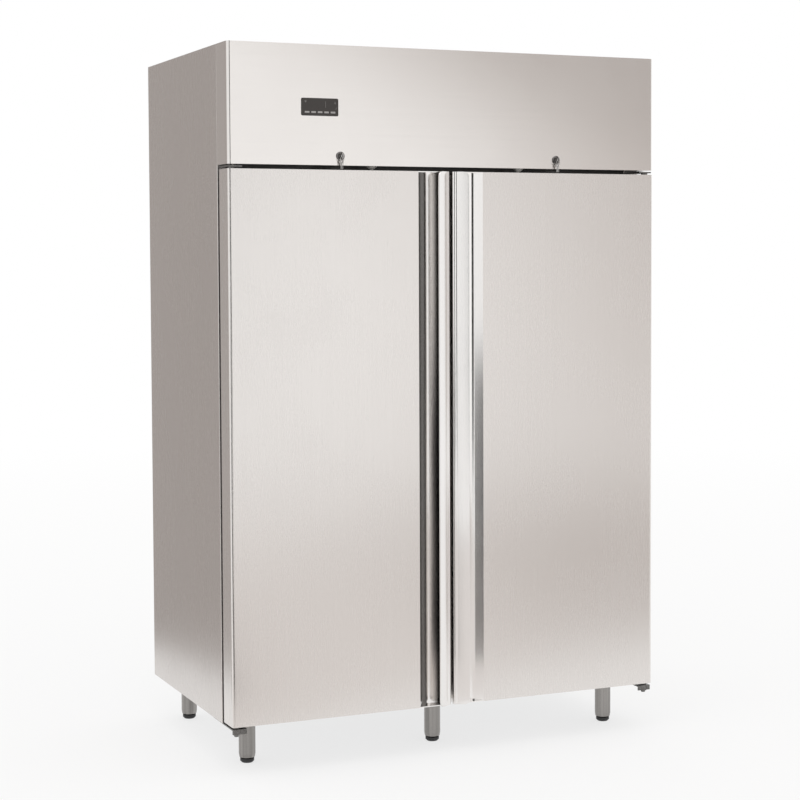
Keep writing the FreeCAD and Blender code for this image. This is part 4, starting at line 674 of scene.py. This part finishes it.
def makePipes(look):
    low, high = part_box("refrigerant_pipes")
    coilLow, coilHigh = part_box("condenser_coil")
    potLow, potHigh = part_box("compressor")
    coilX = (coilLow.x + coilHigh.x) / 2
    potX = (potLow.x + potHigh.x) / 2
    stubHigh = look["stubHigh"]
    dropX = low.x + look["radius"]
    backY = high.y - look["radius"]
    frontY = coilLow.y - look["side"]
    drierY = low.y + look["drierInset"]
    inlet = coilHigh.z - coilMake["edge"]
    outlet = coilLow.z + coilMake["edge"]
    turnX = coilX - look["side"]
    drierX = look["drierStart"]
    suction = [
        (potX, potHigh.y, stubHigh), (potX, backY, stubHigh), (dropX, backY, stubHigh), (dropX, backY, low.z),
    ]
    discharge = [
        (potX, potLow.y, stubHigh), (potX, frontY, stubHigh), (turnX, frontY, stubHigh),
        (turnX, frontY, inlet), (coilX, frontY, inlet), (coilX, coilLow.y, inlet),
    ]
    drierEnd = drierX + look["drierLong"]
    liquid = [(coilX, coilLow.y, outlet), (coilX, drierY, outlet), (drierEnd, drierY, outlet)]
    wide = [suction, discharge, liquid]
    thin = [[(drierX, drierY, outlet), (dropX, drierY, outlet), (dropX, drierY, low.z)]]
    values = {"Radius": look["radius"], "Bend": look["bend"], "Sides": 14, "Material": copper}
    mesh = grow("copperPipes", pathMesh("pipePaths", wide), bentTube, values)
    newPiece("copperPipes", mesh, "cabinet", "copper", "refrigerant_pipes")
    values.update(Radius=look["thin"], Sides=10)
    mesh = grow("capillary", pathMesh("capillaryPath", thin), bentTube, values)
    newPiece("capillary", mesh, "cabinet", "copper")
    neck = [(0.0, 0.4), (0.08, 0.42), (0.16, 0.8), (0.22, 0.96), (0.27, 1.0)]
    necked = neck + [(1 - along, width) for along, width in reversed(neck)]
    profile = [(along * look["drierLong"], width * look["drierRadius"]) for along, width in necked]
    mesh = spinMesh("filterDrier", profile, 24, (drierX, drierY, outlet), copper)
    newPiece("filterDrier", mesh, "cabinet", "copper")


makePipes(pipes)

screws = {
    "radius": 0.0055,
    "height": 0.003,
    "coverInset": 0.04,
    "coverDrop": 0.012,
    "coverCount": 4,
    "lidInset": 0.012,
}


def makeScrews(look):
    low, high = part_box("evaporator_cover")
    first = low.x + look["coverInset"]
    step = (high.x - look["coverInset"] - first) / (look["coverCount"] - 1)
    height = high.z - look["coverDrop"]
    front = [[(first + step * turn, low.y, height)] for turn in range(look["coverCount"])]
    values = {"Radius": look["radius"], "Height": look["height"], "Material": platedSteel}
    values["Turn"] = (math.pi / 2, 0, 0)
    mesh = grow("coverScrews", pathMesh("coverPoints", front), screwHeads, values)
    newPiece("coverScrews", mesh, "cabinet", "zinc_steel")
    low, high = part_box("electrical_box")
    inset = look["lidInset"]
    lid = [[(x, y, high.z)] for x in (low.x + inset, high.x - inset) for y in (low.y + inset, high.y - inset)]
    values["Turn"] = (0, 0, 0)
    mesh = grow("lidScrews", pathMesh("lidPoints", lid), screwHeads, values)
    newPiece("lidScrews", mesh, "cabinet", "zinc_steel")


makeScrews(screws)

# the pressed wing along each closing edge and its finger groove, measured across from the
# closing edge and back from the face of the door
wing = {
    "reach": 0.0058,
    "roll": 0.008,
    "rollBack": 0.012,
    "rollFoot": 0.02,
    "edgeProud": 0.0045,
    "foot": 0.005,
    "footBend": 0.008,
    "crest": 0.0385,
    "crestProud": 0.023,
    "crestBend": 0.0013,
    "thick": 0.004,
    "root": 0.012,
    "innerBend": 0.006,
    "rootBend": 0.013,
    "grooveDeep": 0.017,
    "grooveFoot": 0.068,
    "grooveBend": 0.024,
    "flat": 0.0955,
    "tab": 0.012,
    "sheet": 0.001,
    "corner": 0.017,
    "endPlate": 0.003,
    "steps": 8,
}


def roundedOutline(corners, steps):
    outline = []
    for index, (point, radius) in enumerate(corners):
        here = Vector(point)
        before = (Vector(corners[index - 1][0]) - here).normalized()
        after = (Vector(corners[(index + 1) % len(corners)][0]) - here).normalized()
        if radius == 0:
            outline.append(here)
            continue
        half = before.angle(after) / 2
        centre = here + (before + after).normalized() * (radius / math.sin(half))
        start = here + before * (radius / math.tan(half)) - centre
        end = here + after * (radius / math.tan(half)) - centre
        for step in range(steps + 1):
            outline.append(centre + start.slerp(end, step / steps) * radius)
    return outline


def wingOutline(look, back, setBack):
    rise = look["crestProud"] - look["edgeProud"]
    run = look["crest"] - look["foot"]
    slope = Vector((run, -rise)).normalized()
    inward = Vector((rise, run)).normalized()
    crest = Vector((look["crest"], -look["crestProud"])) - slope * setBack
    under = crest + inward * look["thick"]
    root = under - slope * ((under.x - look["root"]) / slope.x)
    sheet, flat, foot, deep = (look[key] for key in ("sheet", "flat", "grooveFoot", "grooveDeep"))
    return roundedOutline([
        ((-look["reach"], -look["edgeProud"]), look["roll"]),
        ((look["foot"], -look["edgeProud"]), look["footBend"]),
        (crest, look["crestBend"]), (under, look["crestBend"]),
        (root, look["innerBend"]), ((look["root"], deep), look["rootBend"]),
        ((foot, deep), look["grooveBend"]), ((flat, 0), 0), ((flat, sheet), 0),
        ((flat + look["tab"], sheet), 0), ((flat + look["tab"], 2 * sheet), 0), ((flat, 2 * sheet), 0),
        ((foot, deep + sheet), look["grooveBend"] + sheet), ((sheet, deep + sheet), 0),
        ((sheet, back), 0), ((0, back), 0),
        ((0, look["rollFoot"]), 0), ((-look["reach"], look["rollBack"]), 0),
    ], look["steps"])


def wellOutline(look):
    weld = look["sheet"] / 2
    foot, deep = look["grooveFoot"], look["grooveDeep"] + weld
    return roundedOutline([
        ((look["root"] - weld, 0), 0), ((look["flat"], 0), 0), ((look["flat"], weld), 0),
        ((foot, deep), look["grooveBend"]), ((look["root"] - weld, deep), 0),
    ], look["steps"])


# skins a stack of outlines that lie one above the other, and closes both ends
def addStack(shape, rings):
    rows = [[shape.verts.new(point) for point in ring] for ring in rings]
    for lower, upper in zip(rows, rows[1:]):
        for step in range(len(lower)):
            shape.faces.new((lower[step - 1], lower[step], upper[step], upper[step - 1]))
    shape.faces.new(rows[0])
    shape.faces.new(rows[-1])


def makeHandle(word, side, look):
    low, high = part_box(word + "_door_handle")
    edge = min(abs(low.x), abs(high.x))
    shape = bmesh.new()

    def ring(outline, height):
        return [(side * (edge + across), faceY + back, height) for across, back in outline]

    rounds = []
    for step in range(look["steps"] + 1):
        turn = math.pi / 2 * step / look["steps"]
        setBack = look["corner"] * (1 - math.sin(turn))
        rounds.append((look["corner"] * (1 - math.cos(turn)), wingOutline(look, high.y - faceY, setBack)))
    foot = [ring(outline, low.z + rise) for rise, outline in rounds]
    head = [ring(outline, high.z - rise) for rise, outline in reversed(rounds)]
    addStack(shape, foot + head)
    well = wellOutline(look)
    for start in (low.z, high.z - look["endPlate"]):
        addStack(shape, [ring(well, start), ring(well, start + look["endPlate"])])
    bmesh.ops.recalc_face_normals(shape, faces=shape.faces)
    mesh = bpy.data.meshes.new(word + "Handle")
    shape.to_mesh(mesh)
    shape.free()
    mesh.shade_smooth()
    mesh.set_sharp_from_angle(angle=handleEdge)
    mesh.materials.append(handleSteel)
    newPiece(word + "Handle", mesh, word + "_door", "stainless", word + "_door_handle")


makeHandle("left", -1, wing)
makeHandle("right", 1, wing)

# the outer edges of the doors and the hood, where the sheet turns in a wider sweep than the bend
# of the solid: how far it reaches along the front and along the side
doorSweep = {"bend": 0.005, "front": 0.0086, "side": 0.0094}
sweeps = {
    "leftSkin": dict(doorSweep, node="left_door_skin", body="left_door"),
    "rightSkin": dict(doorSweep, node="right_door_skin", body="right_door"),
    "hoodShell": {"bend": 0.004, "front": 0.0095, "side": 0.026, "node": "hood_panel", "body": "cabinet"},
}
sweepSlack = 1e-6


def makeSweep(name, look):
    low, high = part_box(look["node"])
    side = max(abs(low.x), abs(high.x))
    mesh = nodes[look["node"]].data.copy()
    mesh.name = name
    normals = [Vector(corner.vector) for corner in mesh.corner_normals]
    for vertex in mesh.vertices:
        across = abs(vertex.co.x) - side + look["bend"]
        ahead = low.y + look["bend"] - vertex.co.y
        if min(across, ahead) < -sweepSlack:
            continue
        turn = math.atan2(max(across, 0), max(ahead, 0))
        under = look["bend"] - math.hypot(across, ahead)
        toFront = look["side"] * math.cos(turn)
        toSide = look["front"] * math.sin(turn)
        share = toSide / (toFront + toSide)
        reach = side - look["front"] * (1 - share) ** 2 - under * math.sin(turn)
        vertex.co.x = math.copysign(reach, vertex.co.x)
        vertex.co.y = low.y + look["side"] * share ** 2 + under * math.cos(turn)
    mesh.normals_split_custom_set(normals)
    newPiece(name, mesh, look["body"], "stainless", look["node"])


for name, look in sweeps.items():
    makeSweep(name, look)

# faint signs behind the display: where each stroke stands, its width, height and lean
display = {
    "proud": 0.00008,
    "deep": 0.0001,
    "strokes": [
        (-0.4616, 1.9455, 0.0009, 0.0072, 0),
        (-0.4616, 1.9455, 0.0009, 0.0072, 60),
        (-0.4616, 1.9455, 0.0009, 0.0072, 120),
        (-0.3996, 1.9375, 0.0008, 0.018, 0),
        (-0.3712, 1.9425, 0.0009, 0.0075, 28),
        (-0.3696, 1.9425, 0.0009, 0.0075, -28),
        (-0.3672, 1.9262, 0.0009, 0.006, 35),
    ],
}


def makeMarks(look):
    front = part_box("display_window")[0].y - look["proud"]
    shape = bmesh.new()
    for x, z, width, height, lean in look["strokes"]:
        turn = Matrix.Rotation(math.radians(lean), 4, "Y")
        place = Matrix.Translation((x, front + look["deep"] / 2, z))
        bar = place @ turn @ Matrix.Diagonal((width, look["deep"], height, 1))
        bmesh.ops.create_cube(shape, size=1.0, matrix=bar)
    mesh = bpy.data.meshes.new("displayMarks")
    shape.to_mesh(mesh)
    shape.free()
    mesh.materials.append(markGrey)
    newPiece("displayMarks", mesh, "cabinet", "button_grey")


makeMarks(display)

studio = {
    "white": (1, 1, 1),
    "floor": (0.86, 0.855, 0.85),
    "floorWhite": (0.72, 1.0),
    "whiteFade": (2.0, 9.0),
    "floorReach": 60.0,
    "warmth": 3,
    "softbox": {"place": (-0.6, -1.0, 4.6), "aim": (0, 0, 0), "size": (3.2, 3.2), "power": 20.0},
}
warmGrey = Vector((1.0, 0.93, 0.895))
# cards that stand round the set, out of the picture: the ends of the foot and, where it leans,
# of the head, the heights of both, and the light from the first end to the other
cards = {
    "frontBox": {"foot": [(0.75, -9.1), (5.6, -9.1)], "rise": (0.1, 5), "light": [(0, 1.1)]},
    "cameraFlag": {"foot": [(-3.9, -9), (0.75, -9)], "rise": (0, 6), "light": [(0, 0.03)]},
    "hoodFade": {
        "foot": [(4.35, -9), (6.55, -9)],
        "head": [(0.35, -9), (2.55, -9)],
        "rise": (2.2, 4.2),
        "light": [(0, 1.1), (0.32, 0.95), (0.55, 0.75), (0.8, 0.58), (1, 0.5)],
    },
    "hoodShade": {
        "foot": [(6.55, -9), (14, -9)],
        "head": [(2.55, -9), (10, -9)],
        "rise": (2.2, 4.2),
        "light": [(0, 0.5)],
    },
    "doorFade": {
        "foot": [(3.9, -9), (6.6, -9)],
        "rise": (0, 2.19),
        "light": [(0, 1.05), (0.2, 0.93), (0.5, 0.77), (0.7, 0.67), (1, 0.62)],
    },
    "doorShade": {"foot": [(6.6, -9), (14, -9)], "rise": (0, 2.19), "light": [(0, 0.62)]},
    "frontLow": {
        "foot": [(-1.295, -0.475), (2.836, -2.262)],
        "head": [(-2.474, -1.436), (3.034, -3.818)],
        "rise": (0, 0.36),
        "light": [(0.4, 0.8), (0.68, 0.58)],
    },
    "leftLow": {
        "foot": [(-0.85, -0.94), (-0.43, -1.12)],
        "head": [(-4.18, -2.875), (-2.22, -3.72)],
        "rise": (0.078, 0.96),
        "light": [(0, 0.05)],
    },
    "sideCard": {"foot": [(-0.9, 2.1), (-1.27, 0.1)], "rise": (0, 2.6), "light": [(0, 0.44)]},
}


def makeWorld(look):
    world = bpy.data.worlds.new("studio")
    world.use_nodes = True
    background = world.node_tree.nodes["Background"]
    background.inputs["Color"].default_value = (*look["white"], 1)
    background.inputs["Strength"].default_value = 1.0
    scene.world = world


def stageMaterial(name):
    material = bpy.data.materials.new(name)
    material.use_nodes = True
    tree = material.node_tree
    tree.nodes.clear()
    return material, tree, tree.nodes.new("ShaderNodeOutputMaterial").inputs["Surface"]


def stageObject(name, corners, material):
    mesh = bpy.data.meshes.new(name)
    mesh.from_pydata(corners, [], [(0, 1, 2, 3)])
    mesh.materials.append(material)
    thing = bpy.data.objects.new(name, mesh)
    scene.collection.objects.link(thing)
    return thing


# pale round the part and white out to the horizon, the same for the eye and for the metal
def makeFloor(look):
    material, tree, surface = stageMaterial("paleFloor")
    away = addNode(tree, "ShaderNodeVectorMath", {0: objectPlace(tree)}, operation="LENGTH").outputs["Value"]
    whiter = spread(tree, away, *look["floorWhite"], *look["whiteFade"])
    matt = addNode(tree, "ShaderNodeBsdfDiffuse", {"Color": (*look["floor"], 1)})
    white = addNode(tree, "ShaderNodeEmission", {"Color": (*look["white"], 1), "Strength": 1.0})
    path = tree.nodes.new("ShaderNodeLightPath").outputs
    seen = path["Is Camera Ray"]
    for kind in ("Is Glossy Ray", "Is Transmission Ray"):
        seen = combine(tree, seen, path[kind], "MAXIMUM")
    parts = {0: combine(tree, seen, whiter), 1: matt.outputs[0], 2: white.outputs[0]}
    tree.links.new(addNode(tree, "ShaderNodeMixShader", parts).outputs[0], surface)
    reach = look["floorReach"]
    corners = [(-reach, -reach, 0), (reach, -reach, 0), (reach, reach, 0), (-reach, reach, 0)]
    stageObject("floor", corners, material)


def makeCard(name, look):
    material, tree, surface = stageMaterial(name)
    place = tree.nodes.new("ShaderNodeUVMap").outputs[0]
    across = addNode(tree, "ShaderNodeSeparateXYZ", {0: place}).outputs["X"]
    ramp = addNode(tree, "ShaderNodeValToRGB", {0: across})
    stops = ramp.color_ramp.elements
    stops.remove(stops[1])
    for index, (position, light) in enumerate(look["light"]):
        stop = stops[0] if index == 0 else stops.new(position)
        stop.position = position
        warmth = min(max((1 - light) * studio["warmth"], 0), 1)
        tone = Vector(studio["white"]).lerp(warmGrey, warmth)
        stop.color = (*(tone * light), 1)
    glow = addNode(tree, "ShaderNodeEmission", {"Color": ramp.outputs[0], "Strength": 1.0})
    tree.links.new(glow.outputs[0], surface)
    low, high = look["rise"]
    foot = [(*end, low) for end in look["foot"]]
    head = [(*end, high) for end in look.get("head", look["foot"])]
    card = stageObject(name, foot + head[::-1], material)
    spots = card.data.uv_layers.new(name="across")
    for corner, spot in zip(spots.data, ((0, 0), (1, 0), (1, 1), (0, 1))):
        corner.uv = spot
    # only the metal sees the cards
    card.visible_camera = False
    card.visible_diffuse = False
    card.visible_shadow = False
    card.visible_transmission = False


def makeLight(name, look):
    lamp = bpy.data.lights.new(name, "AREA")
    lamp.shape = "RECTANGLE"
    lamp.size, lamp.size_y = look["size"]
    lamp.energy = look["power"]
    light = bpy.data.objects.new(name, lamp)
    scene.collection.objects.link(light)
    light.location = look["place"]
    ahead = Vector(look["aim"]) - Vector(look["place"])
    light.rotation_euler = ahead.to_track_quat("-Z", "Y").to_euler()


makeWorld(studio)
makeFloor(studio)
for name, look in cards.items():
    makeCard(name, look)
makeLight("softbox", studio["softbox"])

cameraSetup = {
    "place": (-2.36412, -5.46370, 1.49554),
    "yaw": 23.418,
    "dip": 2.8855,
    "roll": -0.249,
    "lens": 84.11,
    "sensor": 36,
    "shiftY": -0.0606,
}


def makeCamera(setup):
    yaw, dip, roll = (math.radians(setup[key]) for key in ("yaw", "dip", "roll"))
    ahead = Vector((math.sin(yaw) * math.cos(dip), math.cos(yaw) * math.cos(dip), -math.sin(dip)))
    across = Vector((math.cos(yaw), -math.sin(yaw), 0))
    upward = across.cross(ahead)
    right = across * math.cos(roll) + upward * math.sin(roll)
    top = upward * math.cos(roll) - across * math.sin(roll)
    lens = bpy.data.cameras.new("camera")
    lens.lens = setup["lens"]
    lens.sensor_width = setup["sensor"]
    lens.shift_y = setup["shiftY"]
    camera = bpy.data.objects.new("camera", lens)
    scene.collection.objects.link(camera)
    turned = Matrix((right, top, -ahead)).transposed().to_4x4()
    camera.matrix_world = Matrix.Translation(setup["place"]) @ turned
    scene.camera = camera


makeCamera(cameraSetup)
print("studio ready")
